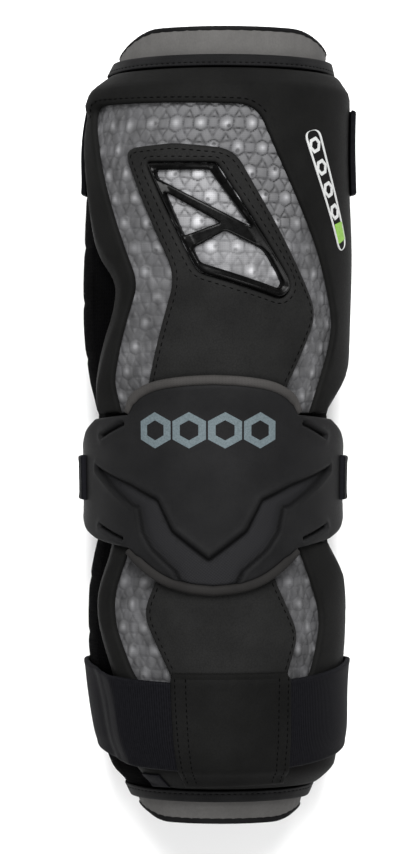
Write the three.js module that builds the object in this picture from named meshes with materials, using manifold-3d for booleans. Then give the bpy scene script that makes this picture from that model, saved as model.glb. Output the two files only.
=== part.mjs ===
// A lacrosse arm pad: a padded sleeve with a bicep guard, an elbow cap and a forearm guard on its front,
// held round the arm by three elastic straps. It lies on its soft back with the elbow cap up.
// Millimetres. +Y runs from the wrist to the bicep, +Z out of the guards' faces, and z = 0 is what it rests on.
//
// Every piece is a wall between two heights over the arm's tube. A place on the tube is (u, v): u is the
// distance round it from the front, at AROUND_RADIUS, and v is the distance along it.

import * as THREE from "three";
import { mergeVertices } from "three/addons/utils/BufferGeometryUtils.js";
import Module from "manifold-3d";

const wasm = await Module();
wasm.setup();

// Driving sizes
const PAD_LENGTH = 368; // liner cuff to liner cuff
const LINER_WIDTH = 100; // outside of the liner at the bicep
const LINER_DEPTH = 88;
const LINER_WALL = 2;
const BACK_PADDING = 3; // of the sleeve, between the liner and the straps
const SIDE_PADDING = 12;
const FRONT_PADDING = 10;
const GAP = 0.5; // between pieces that touch
const AROUND_RADIUS = 62;
const BELLY = 1.18; // how much deeper the back would be if it didn't lie flat
const FLAT_KNEE = 3; // rounding where the flat back begins

const UPPER_CUFF_REACH = 12.5; // of the liner, past the sleeve
const LOWER_CUFF_REACH = 8;
const CUFF_EDGE_WIDTH = 2;
const BINDING_WIDTH = 6;
const BINDING_THICKNESS = 2;

const UPPER_GUARD_TUCK = 17.35; // of the bicep guard, under the cap
const LOWER_GUARD_TUCK = 23.85;
const CELL_PAD = 4; // thickness of the cell foam
const PANEL = 2.2; // thickness of the covers
const RIM = 9; // over which a guard thins towards its edge
const RIM_CLEAR = 1.5; // from the rim's slope to the foam
const SEAM = 0.6; // between a cover and what is let into it
const FRAME_LIP = 1.2; // of the window frame, proud of the cover round it

const CAP_LENGTH = 101;
const CAP_DROP = 27.25; // of the cap's middle from the pad's, towards the wrist
const CAP_RISE = 14; // of the cap's crown over the sleeve
const CAP_END_RISE = 10.6;
const CAP_WING_RISE = 7.8;
const CAP_BINDING_WIDTH = 4.6;
const CAP_BINDING_LIP = 0.5;
const CHANNEL_DEPTH = 1.6;
const SLIT_WIDTH = 1.4;

const STRAP = 2; // thickness
const UPPER_STRAP_WIDTH = 40;
const UPPER_STRAP_DROP = 22; // from the sleeve's upper end
const ELBOW_STRAP_WIDTH = 21;
const ELBOW_STRAP_RISE = 3; // of its middle from the cap's
const LOWER_STRAP_WIDTH = 42;
const LOWER_STRAP_RISE = 16; // of its front edge from the sleeve's lower end
const LOWER_STRAP_DIP = 8; // of its front below its back
const KEEPER = 1.5; // thickness
const KEEPER_LENGTH = 51;
const KEEPER_HEM = 2.5;
const PULL_TAB = 1.4; // thickness
const PULL_TAB_LENGTH = 7;

// Ends of the main pieces, along the pad
const UPPER_END = PAD_LENGTH / 2;
const LOWER_END = -PAD_LENGTH / 2;
const SLEEVE_TOP = UPPER_END - UPPER_CUFF_REACH;
const SLEEVE_BOTTOM = LOWER_END + LOWER_CUFF_REACH;
const CAP_MIDDLE = (UPPER_END + LOWER_END) / 2 - CAP_DROP;
const UPPER_GUARD_TOP = SLEEVE_TOP - BINDING_WIDTH - SEAM;
const UPPER_GUARD_BOTTOM = CAP_MIDDLE + CAP_LENGTH / 2 - UPPER_GUARD_TUCK;
const UPPER_GUARD_LENGTH = UPPER_GUARD_TOP - UPPER_GUARD_BOTTOM;
const LOWER_GUARD_BOTTOM = SLEEVE_BOTTOM + BINDING_WIDTH + SEAM;
const LOWER_GUARD_TOP = CAP_MIDDLE - CAP_LENGTH / 2 + LOWER_GUARD_TUCK;
const LOWER_GUARD_LENGTH = LOWER_GUARD_TOP - LOWER_GUARD_BOTTOM;

// Heights over what it rests on
const SLEEVE_FLOOR = STRAP + GAP;
const LINER_FLOOR = SLEEVE_FLOOR + BACK_PADDING + GAP;

// Heights over the sleeve
const FOAM_TOP = GAP + CELL_PAD;
const COVER_TOP = FOAM_TOP + GAP + PANEL;

// Mesh steps
const AROUND_STEPS = 30;
const STRAP_STEPS = 45; // in a full turn
const STRAP_STEP_ALONG = 14;
const STEP_AROUND = 12;
const STEP_ALONG = 20;

function table(columns, rows) {
  const names = columns.split(" ");
  return rows.map((row) => Object.fromEntries(names.map((name, i) => [name, row[i]])));
}

// Sections from the wrist to the bicep. along: share of PAD_LENGTH. width and depth of the liner: shares of
// LINER_WIDTH and LINER_DEPTH. shift: share of LINER_WIDTH. side and front: shares of the sleeve's padding.
// right: share of SIDE_PADDING by which the right side is thinner.
const SECTIONS = table("along width depth shift side front right", [
  [-0.5, 0.745, 0.675, 0.035, 0.16, 0.2, 0],
  [-0.478, 0.79, 0.71, 0.032, 0.16, 0.22, 0],
  [-0.457, 0.82, 0.745, 0.028, 0.32, 0.45, 0],
  [-0.443, 0.833, 0.768, 0.02, 0.6, 0.65, 0.05],
  [-0.42, 0.85, 0.798, 0.012, 0.76, 0.82, 0.12],
  [-0.39, 0.866, 0.826, 0.006, 0.94, 0.94, 0.17],
  [-0.33, 0.885, 0.86, 0.0, 1.08, 1.0, 0.3],
  [-0.272, 0.9, 0.885, 0.0, 1.17, 1.0, 0.32],
  [-0.21, 0.9, 0.9, 0.0, 1.14, 1.0, 0.26],
  [-0.165, 0.9, 0.902, 0.0, 0.93, 0.99, 0.1],
  [-0.122, 0.9, 0.902, 0.0, 0.68, 0.95, 0],
  [-0.06, 0.905, 0.905, 0.0, 0.64, 0.95, 0],
  [0.005, 0.915, 0.914, 0.0, 0.68, 0.95, 0],
  [0.06, 0.95, 0.948, 0.0, 0.9, 1.0, 0.15],
  [0.13, 0.984, 0.98, 0.0, 0.99, 1.0, 0.3],
  [0.231, 1.0, 0.993, 0.0, 0.9, 1.0, 0.23],
  [0.34, 1.0, 0.982, 0.004, 0.72, 1.0, 0.19],
  [0.421, 1.0, 0.96, 0.028, 0.52, 0.75, 0.16],
  [0.448, 0.994, 0.948, 0.039, 0.3, 0.45, 0.05],
  [0.466, 0.987, 0.938, 0.045, 0.13, 0.2, 0],
  [0.5, 0.96, 0.914, 0.055, 0.13, 0.2, 0],
]);

// Outlines. around: degrees from the front, positive on the right. along: share of the guard from its lower
// end. corner: the corner's cut-back in millimetres. They run anticlockwise as seen from the front.
const UPPER_GUARD_EDGE = table("around along corner", [
  [98, 0, 0],
  [98, 0.7, 20],
  [93, 1, 18],
  [-77, 1, 18],
  [-77, 0.8, 10],
  [-58.5, 0.471, 10],
  [-44, 0.375, 8],
  [-46.5, 0.29, 6],
  [-54, 0.201, 8],
  [-62.3, 0.103, 6],
  [-67.5, 0.03, 3],
  [-67.5, 0, 0],
]);
const UPPER_BAND_EDGE = table("around along corner", [
  [-45, 0, 0],
  [-46.2, 0.09, 5],
  [-31, 0.374, 7],
  [-63.8, 0.876, 6],
  [-60, 0.9, 4],
  [16.5, 0.887, 9],
  [50.4, 0.45, 8],
  [61.8, 0.27, 10],
  [59.5, 0.205, 6],
  [52, 0.088, 6],
  [48, 0, 0],
]);
const UPPER_CENTRE_EDGE = table("around along corner", [
  [27.5, 0, 0],
  [33, 0.089, 3],
  [47.5, 0.287, 9],
  [8, 0.757, 8],
  [-16.7, 0.775, 3],
  [-39.5, 0.764, 7],
  [-14.8, 0.393, 9],
  [-31, 0, 0],
]);
const WINDOW_EDGE = table("around along corner", [
  [0.8, 0.714, 1.5],
  [-27.5, 0.718, 1.5],
  [-9.5, 0.457, 3],
  [-5.5, 0.405, 3],
  [27.5, 0.33, 3],
  [31.8, 0.355, 3],
  [31.2, 0.385, 3],
]);
const WINDOW_OPENINGS = [
  table("around along corner", [[-0.7, 0.696, 1.2], [-22.4, 0.698, 1.2], [-22, 0.655, 1.2], [15.5, 0.545, 1.2]]),
  table("around along corner", [[-17.8, 0.621, 1], [-9.4, 0.506, 1.5], [-0.8, 0.539, 1]]),
  table("around along corner", [
    [-7.8, 0.472, 1.5],
    [-5, 0.431, 2],
    [27, 0.358, 1.5],
    [28.6, 0.375, 1.5],
    [20.5, 0.468, 4],
    [4.6, 0.522, 1.5],
  ]),
];
const LOWER_GUARD_EDGE = table("around along corner", [
  [-54.5, 1, 0],
  [-54.5, 0.96, 4],
  [-62.5, 0.735, 14],
  [-48, 0.42, 12],
  [-46, 0, 22],
  [96, 0, 24],
  [96, 1, 0],
]);
const LOWER_BAND_EDGE = table("around along corner", [
  [39.5, 1, 0],
  [47.3, 0.841, 6],
  [54.8, 0.69, 9],
  [49, 0.477, 6],
  [35.2, 0.31, 3],
  [-18.6, 0.31, 3],
  [-34.8, 0.46, 6],
  [-47.3, 0.735, 14],
  [-38.5, 1, 0],
]);
const LOWER_CENTRE_EDGE = table("around along corner", [
  [-17.5, 0.32, 0],
  [34, 0.32, 0],
  [33.2, 0.47, 3],
  [38.4, 0.634, 6],
  [27.2, 0.839, 7],
  [21, 1, 0],
  [-18, 1, 0],
  [-29.5, 0.72, 7],
  [-17.6, 0.47, 4],
]);
const KEEPER_SIDES = [-17, 33.5];
const PULL_TAB_SIDES = [-40, -28];

// The right half of the elbow cap, clockwise from its top. along: share of CAP_LENGTH from the cap's middle.
const CAP_TOP = table("around along corner", [
  [0, 0.5, 0],
  [12, 0.494, 8],
  [25, 0.472, 8],
  [35, 0.42, 7],
  [39.5, 0.335, 0],
]);
const CAP_SIDE = table("around along corner", [
  [61, 0.302, 8],
  [77, 0.235, 8],
  [92, 0.11, 8],
  [92, -0.1, 8],
  [77, -0.2, 8],
  [60, -0.25, 8],
]);
const CAP_BOTTOM = table("around along corner", [
  [38, -0.308, 0],
  [31, -0.375, 8],
  [21, -0.45, 8],
  [10.5, -0.49, 8],
  [0, -0.5, 0],
]);
const CHANNEL_INNER = table("around along corner", [
  [60, 0.088, 0],
  [35, 0.01, 3],
  [21, -0.06, 3],
  [14.5, -0.2, 3],
  [0, -0.325, 0],
]);
const CHANNEL_OUTER = table("around along corner", [
  [0, -0.425, 0],
  [12, -0.385, 3],
  [24, -0.29, 3],
  [29, -0.215, 3],
  [33, -0.11, 3],
  [60, 0.065, 0],
]);
const SLITS = table("around along toAround toAlong", [
  [40, 0.28, 55, 0.222],
  [40, -0.245, 56, -0.19],
]);
const CAP_INNER_DROP = [53, 69]; // degrees from the front, between which the cap comes down to the sleeve
const CAP_EDGE_DROP = [76, 92];
const ELBOW_STRAP_DROP = [84, 112];

// A column of the sections, as a smooth curve through its rows
function sectionAt(column, v) {
  const along = THREE.MathUtils.clamp(v / PAD_LENGTH, SECTIONS[0].along, SECTIONS.at(-1).along);
  const i = Math.max(1, SECTIONS.findIndex((row) => row.along >= along));
  const slope = (k) => {
    const before = SECTIONS[Math.max(k - 1, 0)];
    const after = SECTIONS[Math.min(k + 1, SECTIONS.length - 1)];
    return (after[column] - before[column]) / (after.along - before.along);
  };
  const [a, b] = [SECTIONS[i - 1], SECTIONS[i]];
  const span = b.along - a.along;
  const t = (along - a.along) / span;
  return (
    a[column] * (2 * t ** 3 - 3 * t ** 2 + 1) +
    slope(i - 1) * span * (t ** 3 - 2 * t ** 2 + t) +
    b[column] * (3 * t ** 2 - 2 * t ** 3) +
    slope(i) * span * (t ** 3 - t ** 2)
  );
}

// z held at or above a floor, with a rounded knee
function settle(z, floor) {
  if (z >= floor + FLAT_KNEE) return z;
  if (z <= floor - FLAT_KNEE) return floor;
  return floor + (z - floor + FLAT_KNEE) ** 2 / (4 * FLAT_KNEE);
}

// A point at a height over a ring with this half width, top and flat floor
function onRing(u, v, height, halfWidth, top, floor) {
  const angle = u / AROUND_RADIUS;
  const axis = LINER_FLOOR + (LINER_DEPTH * sectionAt("depth", v)) / 2;
  const reach = Math.cos(angle) >= 0 ? top - axis : (axis - floor) * BELLY;
  const x = LINER_WIDTH * sectionAt("shift", v) + (halfWidth + height) * Math.sin(angle);
  const z = axis + (reach + height) * Math.cos(angle);
  return new THREE.Vector3(x, v, settle(z, floor - height));
}

// A point at a height over the liner's outside
function onLiner(u, v, height) {
  const halfWidth = (LINER_WIDTH * sectionAt("width", v)) / 2;
  return onRing(u, v, height, halfWidth, LINER_FLOOR + LINER_DEPTH * sectionAt("depth", v), LINER_FLOOR);
}

// A point at a height over the sleeve's outside
function onSleeve(u, v, height) {
  const thinner = sectionAt("right", v) * THREE.MathUtils.smoothstep(Math.sin(u / AROUND_RADIUS), 0, 1);
  const padding = SIDE_PADDING * (sectionAt("side", v) - thinner);
  const halfWidth = (LINER_WIDTH * sectionAt("width", v)) / 2 + GAP + padding;
  const linerTop = LINER_FLOOR + LINER_DEPTH * sectionAt("depth", v);
  return onRing(u, v, height, halfWidth, linerTop + GAP + FRONT_PADDING * sectionAt("front", v), SLEEVE_FLOOR);
}

// The same, at a height that is a number or varies with the place
const over = (surface, height) => (u, v) => surface(u, v, typeof height === "number" ? height : height(u, v));

const aroundToU = (degrees) => THREE.MathUtils.degToRad(degrees) * AROUND_RADIUS;
const turn = 2 * Math.PI * AROUND_RADIUS;
const nearFront = (u) => u - turn * Math.round(u / turn);
const place = (around, v) => new THREE.Vector2(aroundToU(around), v);
const smoothstep = THREE.MathUtils.smoothstep;

// The places of table rows, with each corner rounded
function path(rows, start, length) {
  const corners = rows.map((row) => place(row.around, start + row.along * length));
  return corners.flatMap((corner, i) => {
    const [before, after] = [corners[i - 1], corners[i + 1]];
    if (!rows[i].corner || !before || !after) return [corner];
    const cutBack = (end) => {
      const away = end.clone().sub(corner);
      return corner.clone().add(away.setLength(Math.min(rows[i].corner, 0.45 * away.length())));
    };
    return new THREE.QuadraticBezierCurve(cutBack(before), corner, cutBack(after)).getPoints(2);
  });
}

// The same, with its last row joined to its first
function loop(rows, start, length) {
  const ends = [{ ...rows.at(-1), corner: 0 }, ...rows, { ...rows[0], corner: 0 }];
  return path(ends, start, length).slice(1, -1);
}

const mirrored = (rows) => rows.map((row) => ({ ...row, around: -row.around })).reverse();

// Places moved sideways, to the left of the way the path runs, by a distance that can vary along it
function beside(places, distance) {
  return places.map((at, i) => {
    const before = places[Math.max(i - 1, 0)];
    const after = places[Math.min(i + 1, places.length - 1)];
    const ahead = after.clone().sub(before).normalize();
    const by = typeof distance === "number" ? distance : distance(i / (places.length - 1));
    return new THREE.Vector2(at.x - ahead.y * by, at.y + ahead.x * by);
  });
}

const insideLoop = (places, distance) => beside([places.at(-1), ...places, places[0]], distance).slice(1, -1);

// Distance from a place to an open path, positive to its left
function leftOf(edge, u, v) {
  let best = Infinity;
  for (let i = 0; i + 1 < edge.length; i++) {
    const [a, b] = [edge[i], edge[i + 1]];
    const [du, dv] = [b.x - a.x, b.y - a.y];
    const t = THREE.MathUtils.clamp(((u - a.x) * du + (v - a.y) * dv) / (du * du + dv * dv), 0, 1);
    const away = Math.hypot(u - a.x - t * du, v - a.y - t * dv);
    const side = Math.sign(du * (v - a.y) - dv * (u - a.x)) || 1;
    if (away < Math.abs(best) - 1e-9) best = side * away;
  }
  return best;
}

const upperEdge = path(UPPER_GUARD_EDGE, UPPER_GUARD_BOTTOM, UPPER_GUARD_LENGTH);
const lowerEdge = path(LOWER_GUARD_EDGE, LOWER_GUARD_BOTTOM, LOWER_GUARD_LENGTH);

// Height of a strap's underside over the sleeve: it runs over a guard and comes down past its edges
function strapBase(u, v) {
  const depth = leftOf(v > CAP_MIDDLE ? upperEdge : lowerEdge, nearFront(u), v);
  const foam = CELL_PAD * THREE.MathUtils.clamp((depth + 4) / RIM, 0, 1);
  return GAP + foam + (COVER_TOP + GAP - CELL_PAD) * smoothstep(depth, -RIM - 8, -3);
}

// Height of the cap's outside over the sleeve, before its wings thin at their ends
function capCrown(u, v) {
  const end = THREE.MathUtils.clamp((2 * (v - CAP_MIDDLE)) / CAP_LENGTH, -1, 1);
  const facing = Math.max(Math.cos(u / AROUND_RADIUS), 0) ** 2;
  const crown = THREE.MathUtils.lerp(CAP_RISE, CAP_END_RISE, end ** 2);
  return CAP_WING_RISE + (crown - CAP_WING_RISE) * facing;
}

function capTop(u, v) {
  return capCrown(u, v) - (CAP_WING_RISE / 2) * smoothstep(Math.abs(u), ...CAP_EDGE_DROP.map(aroundToU));
}

function capBase(u) {
  return GAP + COVER_TOP * (1 - smoothstep(Math.abs(u), ...CAP_INNER_DROP.map(aroundToU)));
}

const edgeKey = (a, b) => Math.min(a, b) + "_" + Math.max(a, b);
const sidesOf = ([a, b, c]) => [[a, b], [b, c], [c, a]];

// A flat mesh of places: pieces, each a closed outline with any holes in it, then split at its long edges
function flatMesh(...pieces) {
  const points = [];
  const triangles = [];
  const fixed = new Set();
  const indexOf = (at) => {
    const found = points.findIndex((point) => point.distanceTo(at) < 1e-6);
    return found < 0 ? points.push(at.clone()) - 1 : found;
  };
  for (const rings of pieces) {
    const indexed = rings.map((ring) => ring.map(indexOf));
    indexed.forEach((ring) => ring.forEach((a, i) => fixed.add(edgeKey(a, ring[(i + 1) % ring.length]))));
    const [outline, ...holes] = rings.map((ring) => [...ring]);
    for (const face of THREE.ShapeUtils.triangulateShape(outline, holes)) {
      const [a, b, c] = face.map((corner) => indexed.flat()[corner]);
      const area = THREE.ShapeUtils.area([points[a], points[b], points[c]]);
      triangles.push(area < 0 ? [a, c, b] : [a, b, c]);
    }
  }
  do turnEdges(points, triangles, fixed);
  while (splitLong(points, triangles, fixed));
  return { points, triangles };
}

// For each edge, the triangles on its sides
function byEdge(triangles) {
  const edges = new Map();
  triangles.forEach((triangle, t) => {
    for (const side of sidesOf(triangle)) {
      const key = edgeKey(...side);
      edges.set(key, [...(edges.get(key) ?? []), t]);
    }
  });
  return edges;
}

// Turns the edge that two triangles share where that makes them less narrow
function turnEdges(points, triangles, fixed) {
  const x = (i) => points[i].x / STEP_AROUND;
  const y = (i) => points[i].y / STEP_ALONG;
  const narrow = (a, b, c, d) => {
    const [p, q, r] = [a, b, c].map((i) => [x(i) - x(d), y(i) - y(d)]);
    const lift = ([e, f]) => e * e + f * f;
    const minor = (e, f) => e[0] * f[1] - e[1] * f[0];
    return lift(p) * minor(q, r) + lift(q) * minor(r, p) + lift(r) * minor(p, q) > 1e-9;
  };
  for (let turned = true; turned; ) {
    turned = false;
    const done = new Set();
    for (const [key, [s, t]] of byEdge(triangles)) {
      if (t === undefined || fixed.has(key) || done.has(s) || done.has(t)) continue;
      const [a, b] = sidesOf(triangles[s]).find((side) => edgeKey(...side) === key);
      const c = triangles[s].find((corner) => corner !== a && corner !== b);
      const d = triangles[t].find((corner) => corner !== a && corner !== b);
      if (!narrow(a, b, c, d)) continue;
      triangles[s] = [a, d, c];
      triangles[t] = [d, b, c];
      done.add(s).add(t);
      turned = true;
    }
  }
}

// Splits the longest edges, with the triangles on both sides. Returns whether any was over a step.
function splitLong(points, triangles, fixed) {
  const length = (a, b) =>
    Math.hypot((points[a].x - points[b].x) / STEP_AROUND, (points[a].y - points[b].y) / STEP_ALONG);
  const edges = byEdge(triangles);
  const ends = (key) => key.split("_").map(Number);
  const long = [...edges.keys()].filter((key) => length(...ends(key)) > 1);
  long.sort((p, q) => length(...ends(q)) - length(...ends(p)));
  const done = new Set();
  for (const key of long) {
    const sharing = edges.get(key);
    if (sharing.some((t) => done.has(t))) continue;
    const [a, b] = ends(key);
    const middle = points.push(points[a].clone().lerp(points[b], 0.5)) - 1;
    if (fixed.has(key)) fixed.add(edgeKey(a, middle)).add(edgeKey(middle, b));
    for (const t of sharing) {
      done.add(t);
      triangles.push(triangles[t].map((corner) => (corner === b ? middle : corner)));
      triangles[t] = triangles[t].map((corner) => (corner === a ? middle : corner));
    }
  }
  return long.length > 0;
}

const steps = (from, to, count) =>
  Array.from({ length: count + 1 }, (_, i) => THREE.MathUtils.lerp(from, to, i / count));

// A flat mesh of rows and columns. dip moves a place down by an amount that depends on u.
function gridMesh(us, vs, dip = () => 0) {
  const points = vs.flatMap((v) => us.map((u) => new THREE.Vector2(u, v - dip(u))));
  const triangles = [];
  for (let j = 0; j + 1 < vs.length; j++) {
    for (let i = 0; i + 1 < us.length; i++) {
      const [a, b] = [j * us.length + i, j * us.length + i + 1];
      const [c, d] = [b + us.length, a + us.length];
      triangles.push([a, b, c], [a, c, d]);
    }
  }
  return { points, triangles };
}

// Columns all round, and a strap's columns round the back from one side to the other
const fullTurn = (count) => steps(-turn / 2, turn / 2, count);
const roundTheBack = (from) => steps(aroundToU(from), aroundToU(360 - from), (1 - from / 180) * STRAP_STEPS);

// Whether an edge lies on the line down the back where a full turn meets itself
const onBackLine = (a, b) => [a, b].every((point) => Math.abs(Math.abs(point.x) - turn / 2) < 1e-6);

// The closed wall between two surfaces over a flat mesh
function wall({ points, triangles }, inner, outer) {
  const outside = points.map((point) => outer(point.x, point.y));
  const inside = points.map((point) => inner(point.x, point.y));
  const positions = [];
  const face = (...corners) => corners.forEach((corner) => positions.push(...corner.toArray()));
  const sides = new Set(triangles.flatMap(sidesOf).map((side) => side.join()));
  for (const [a, b, c] of triangles) {
    face(outside[a], outside[b], outside[c]);
    face(inside[c], inside[b], inside[a]);
    for (const [from, to] of sidesOf([a, b, c])) {
      if (sides.has([to, from].join()) || onBackLine(points[from], points[to])) continue;
      face(outside[to], outside[from], inside[from]);
      face(outside[to], inside[from], inside[to]);
    }
  }
  const geometry = new THREE.BufferGeometry();
  geometry.setAttribute("position", new THREE.Float32BufferAttribute(positions, 3));
  return geometry;
}

function toManifold(geometry) {
  const merged = mergeVertices(geometry, 1e-4);
  const { array } = merged.attributes.position;
  return new wasm.Manifold(
    new wasm.Mesh({ numProp: 3, vertProperties: array, triVerts: new Uint32Array(merged.index.array) }),
  );
}

// A geometry with the tools cut out of it
function cut(geometry, tools) {
  const solid = tools.reduce((left, tool) => left.subtract(toManifold(tool)), toManifold(geometry));
  const mesh = solid.getMesh();
  const result = new THREE.BufferGeometry();
  result.setAttribute("position", new THREE.Float32BufferAttribute(mesh.vertProperties, 3));
  result.setIndex(new THREE.BufferAttribute(mesh.triVerts, 1));
  return result;
}

const FINISHES = {
  liner_grey: { color: 0x74716f, roughness: 0.9 },
  mesh_black: { color: 0x0e0e0f, roughness: 0.85 },
  cell_grey: { color: 0x8a8a8e, roughness: 0.75 },
  cover_black: { color: 0x262626, roughness: 0.65 },
  frame_gloss: { color: 0x080808, roughness: 0.2 },
  cap_black: { color: 0x232324, roughness: 0.6 },
  binding_grey: { color: 0x4a4644, roughness: 0.7 },
  strap_black: { color: 0x101115, roughness: 0.75 },
};

const pad = new THREE.Group();
pad.name = "lacrosse_arm_pad";

function add(name, finish, geometry) {
  const mesh = new THREE.Mesh(geometry, new THREE.MeshStandardMaterial({ ...FINISHES[finish], metalness: 0 }));
  mesh.name = name;
  pad.add(mesh);
}

// Rows of the sections between two ends, all of them or every second one
function rowsBetween(from, to, every = 1) {
  const own = SECTIONS.filter((_, i) => i % every === 0).map((row) => row.along * PAD_LENGTH);
  return [from, ...own.filter((v) => v > from + 2 && v < to - 2), to];
}

// Liner and sleeve
const linerRows = rowsBetween(LOWER_END + CUFF_EDGE_WIDTH, UPPER_END - CUFF_EDGE_WIDTH, 2);
const linerMesh = gridMesh(fullTurn(AROUND_STEPS), linerRows);
const sleeveMesh = gridMesh(fullTurn(AROUND_STEPS), rowsBetween(SLEEVE_BOTTOM, SLEEVE_TOP));
add("inner_liner", "liner_grey", wall(linerMesh, over(onLiner, -LINER_WALL), over(onLiner, 0)));
add("padded_sleeve", "mesh_black", wall(sleeveMesh, over(onLiner, GAP), over(onSleeve, 0)));

// The narrow black edge on each cuff of the liner
const CUFF_EDGES = table("name from to", [
  ["upper_cuff_edge", UPPER_END - CUFF_EDGE_WIDTH + GAP, UPPER_END],
  ["lower_cuff_edge", LOWER_END, LOWER_END + CUFF_EDGE_WIDTH - GAP],
]);
for (const { name, from, to } of CUFF_EDGES) {
  const ring = gridMesh(fullTurn(AROUND_STEPS), [from, to]);
  add(name, "cover_black", wall(ring, over(onLiner, -LINER_WALL - 0.3), over(onLiner, 0.3)));
}

// The rolled binding round each end of the sleeve
const SLEEVE_BINDINGS = table("name from to", [
  ["upper_sleeve_binding", SLEEVE_TOP - BINDING_WIDTH, SLEEVE_TOP],
  ["lower_sleeve_binding", SLEEVE_BOTTOM, SLEEVE_BOTTOM + BINDING_WIDTH],
]);
for (const { name, from, to } of SLEEVE_BINDINGS) {
  const ring = gridMesh(fullTurn(AROUND_STEPS), steps(from, to, 2));
  const roll = (u, v) => GAP + BINDING_THICKNESS * (v === from || v === to ? 0.35 : 1);
  add(name, "cover_black", wall(ring, over(onSleeve, GAP), over(onSleeve, roll)));
}

// Height of a cover's underside, which slopes down to the sleeve at the guard's edge
const coverBase = (edge) => (u, v) => GAP + FOAM_TOP * THREE.MathUtils.clamp(leftOf(edge, u, v) / (0.9 * RIM), 0, 1);

// The shell round a guard, from its edge in to the band of cells
function guardShell(name, edge, band) {
  const slopeTop = beside(edge, RIM);
  const rim = edge.slice(1).map((at, i) => [[edge[i], at, slopeTop[i + 1], slopeTop[i]]]);
  const base = coverBase(edge);
  const flat = flatMesh(...rim, [[...slopeTop, ...band]]);
  add(name, "cover_black", wall(flat, over(onSleeve, base), over(onSleeve, (u, v) => base(u, v) + PANEL)));
}

// The foam of a guard, with its moulded cells
function cellPad(name, edge) {
  const flat = flatMesh([beside(edge, RIM + RIM_CLEAR)]);
  add(name, "cell_grey", wall(flat, over(onSleeve, GAP), over(onSleeve, FOAM_TOP)));
}

// A cover that lies on the foam
function coverPanel(name, finish, top, outline, holes = []) {
  add(name, finish, wall(flatMesh([outline, ...holes]), over(onSleeve, FOAM_TOP + GAP), over(onSleeve, top)));
}

// Bicep guard
const onUpperGuard = [UPPER_GUARD_BOTTOM, UPPER_GUARD_LENGTH];
const windowOutline = loop(WINDOW_EDGE, ...onUpperGuard);
const windowOpenings = WINDOW_OPENINGS.map((rows) => loop(rows, ...onUpperGuard));
const windowSeat = insideLoop(windowOutline, -SEAM);
cellPad("upper_cell_pad", upperEdge);
guardShell("upper_shell", upperEdge, path(UPPER_BAND_EDGE, ...onUpperGuard));
coverPanel("upper_centre_panel", "cover_black", COVER_TOP, path(UPPER_CENTRE_EDGE, ...onUpperGuard), [windowSeat]);
coverPanel("window_frame", "frame_gloss", COVER_TOP + FRAME_LIP, windowOutline, windowOpenings);

// Forearm guard
const onLowerGuard = [LOWER_GUARD_BOTTOM, LOWER_GUARD_LENGTH];
cellPad("lower_cell_pad", lowerEdge);
guardShell("lower_shell", lowerEdge, path(LOWER_BAND_EDGE, ...onLowerGuard));
coverPanel("lower_centre_panel", "cover_black", COVER_TOP, path(LOWER_CENTRE_EDGE, ...onLowerGuard));

// Elbow cap, with a binding let into its top and bottom edges, a V channel and slits
{
  const onCap = [CAP_MIDDLE, CAP_LENGTH];
  const top = path([...mirrored(CAP_TOP), ...CAP_TOP.slice(1)], ...onCap);
  const bottom = path([...CAP_BOTTOM, ...mirrored(CAP_BOTTOM).slice(1)], ...onCap);
  const bindingWidth = (share) => CAP_BINDING_WIDTH * Math.min(1, 0.35 + 5 * Math.min(share, 1 - share));
  const bindingInside = (edge) => beside(edge, (share) => -bindingWidth(share));
  const seat = (edge) => beside(edge, (share) => -bindingWidth(share) - SEAM);
  const body = flatMesh([
    [...seat(top), ...path(CAP_SIDE, ...onCap), ...seat(bottom), ...path(mirrored(CAP_SIDE), ...onCap)],
  ]);

  const above = (u, v) => capTop(u, v) + CHANNEL_DEPTH;
  const below = (u, v) => capTop(u, v) - CHANNEL_DEPTH;
  const tool = (outline) => wall(flatMesh([outline]), over(onSleeve, below), over(onSleeve, above));
  const channel = [
    ...CHANNEL_INNER,
    ...mirrored(CHANNEL_INNER).slice(1),
    ...mirrored(CHANNEL_OUTER),
    ...CHANNEL_OUTER.slice(1),
  ];
  const slits = SLITS.flatMap((slit) =>
    [-1, 1].map((side) => {
      const line = [
        place(side * slit.around, CAP_MIDDLE + slit.along * CAP_LENGTH),
        place(side * slit.toAround, CAP_MIDDLE + slit.toAlong * CAP_LENGTH),
      ];
      return tool([...beside(line, SLIT_WIDTH / 2), ...beside(line, -SLIT_WIDTH / 2).reverse()]);
    }),
  );
  const solid = wall(body, over(onSleeve, capBase), over(onSleeve, capTop));
  add("elbow_cap", "cap_black", cut(solid, [tool(path(channel, ...onCap)), ...slits]));

  const bind = (name, finish, edge) => {
    const strip = flatMesh([[...edge, ...bindingInside(edge).reverse()]]);
    const lip = (u, v) => capTop(u, v) + CAP_BINDING_LIP;
    add(name, finish, wall(strip, over(onSleeve, capBase), over(onSleeve, lip)));
  };
  bind("cap_top_binding", "cover_black", top);
  bind("cap_bottom_binding", "binding_grey", bottom);
}

// Straps
function strap(name, us, from, width, base, dip) {
  const band = gridMesh(us, steps(from, from + width, Math.ceil(width / STRAP_STEP_ALONG)), dip);
  add(name, "strap_black", wall(band, over(onSleeve, base), over(onSleeve, (u, v) => base(u, v) + STRAP)));
}

const upperStrapBottom = SLEEVE_TOP - UPPER_STRAP_DROP - UPPER_STRAP_WIDTH;
strap("upper_strap", roundTheBack(84), upperStrapBottom, UPPER_STRAP_WIDTH, strapBase);

const elbowStrapBottom = CAP_MIDDLE + ELBOW_STRAP_RISE - ELBOW_STRAP_WIDTH / 2;
const elbowStrapBase = (u, v) => {
  const away = Math.abs(nearFront(u));
  return GAP + (capCrown(u, v) + GAP) * (1 - smoothstep(away, ...ELBOW_STRAP_DROP.map(aroundToU)));
};
strap("elbow_strap", roundTheBack(72), elbowStrapBottom, ELBOW_STRAP_WIDTH, elbowStrapBase);

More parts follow.
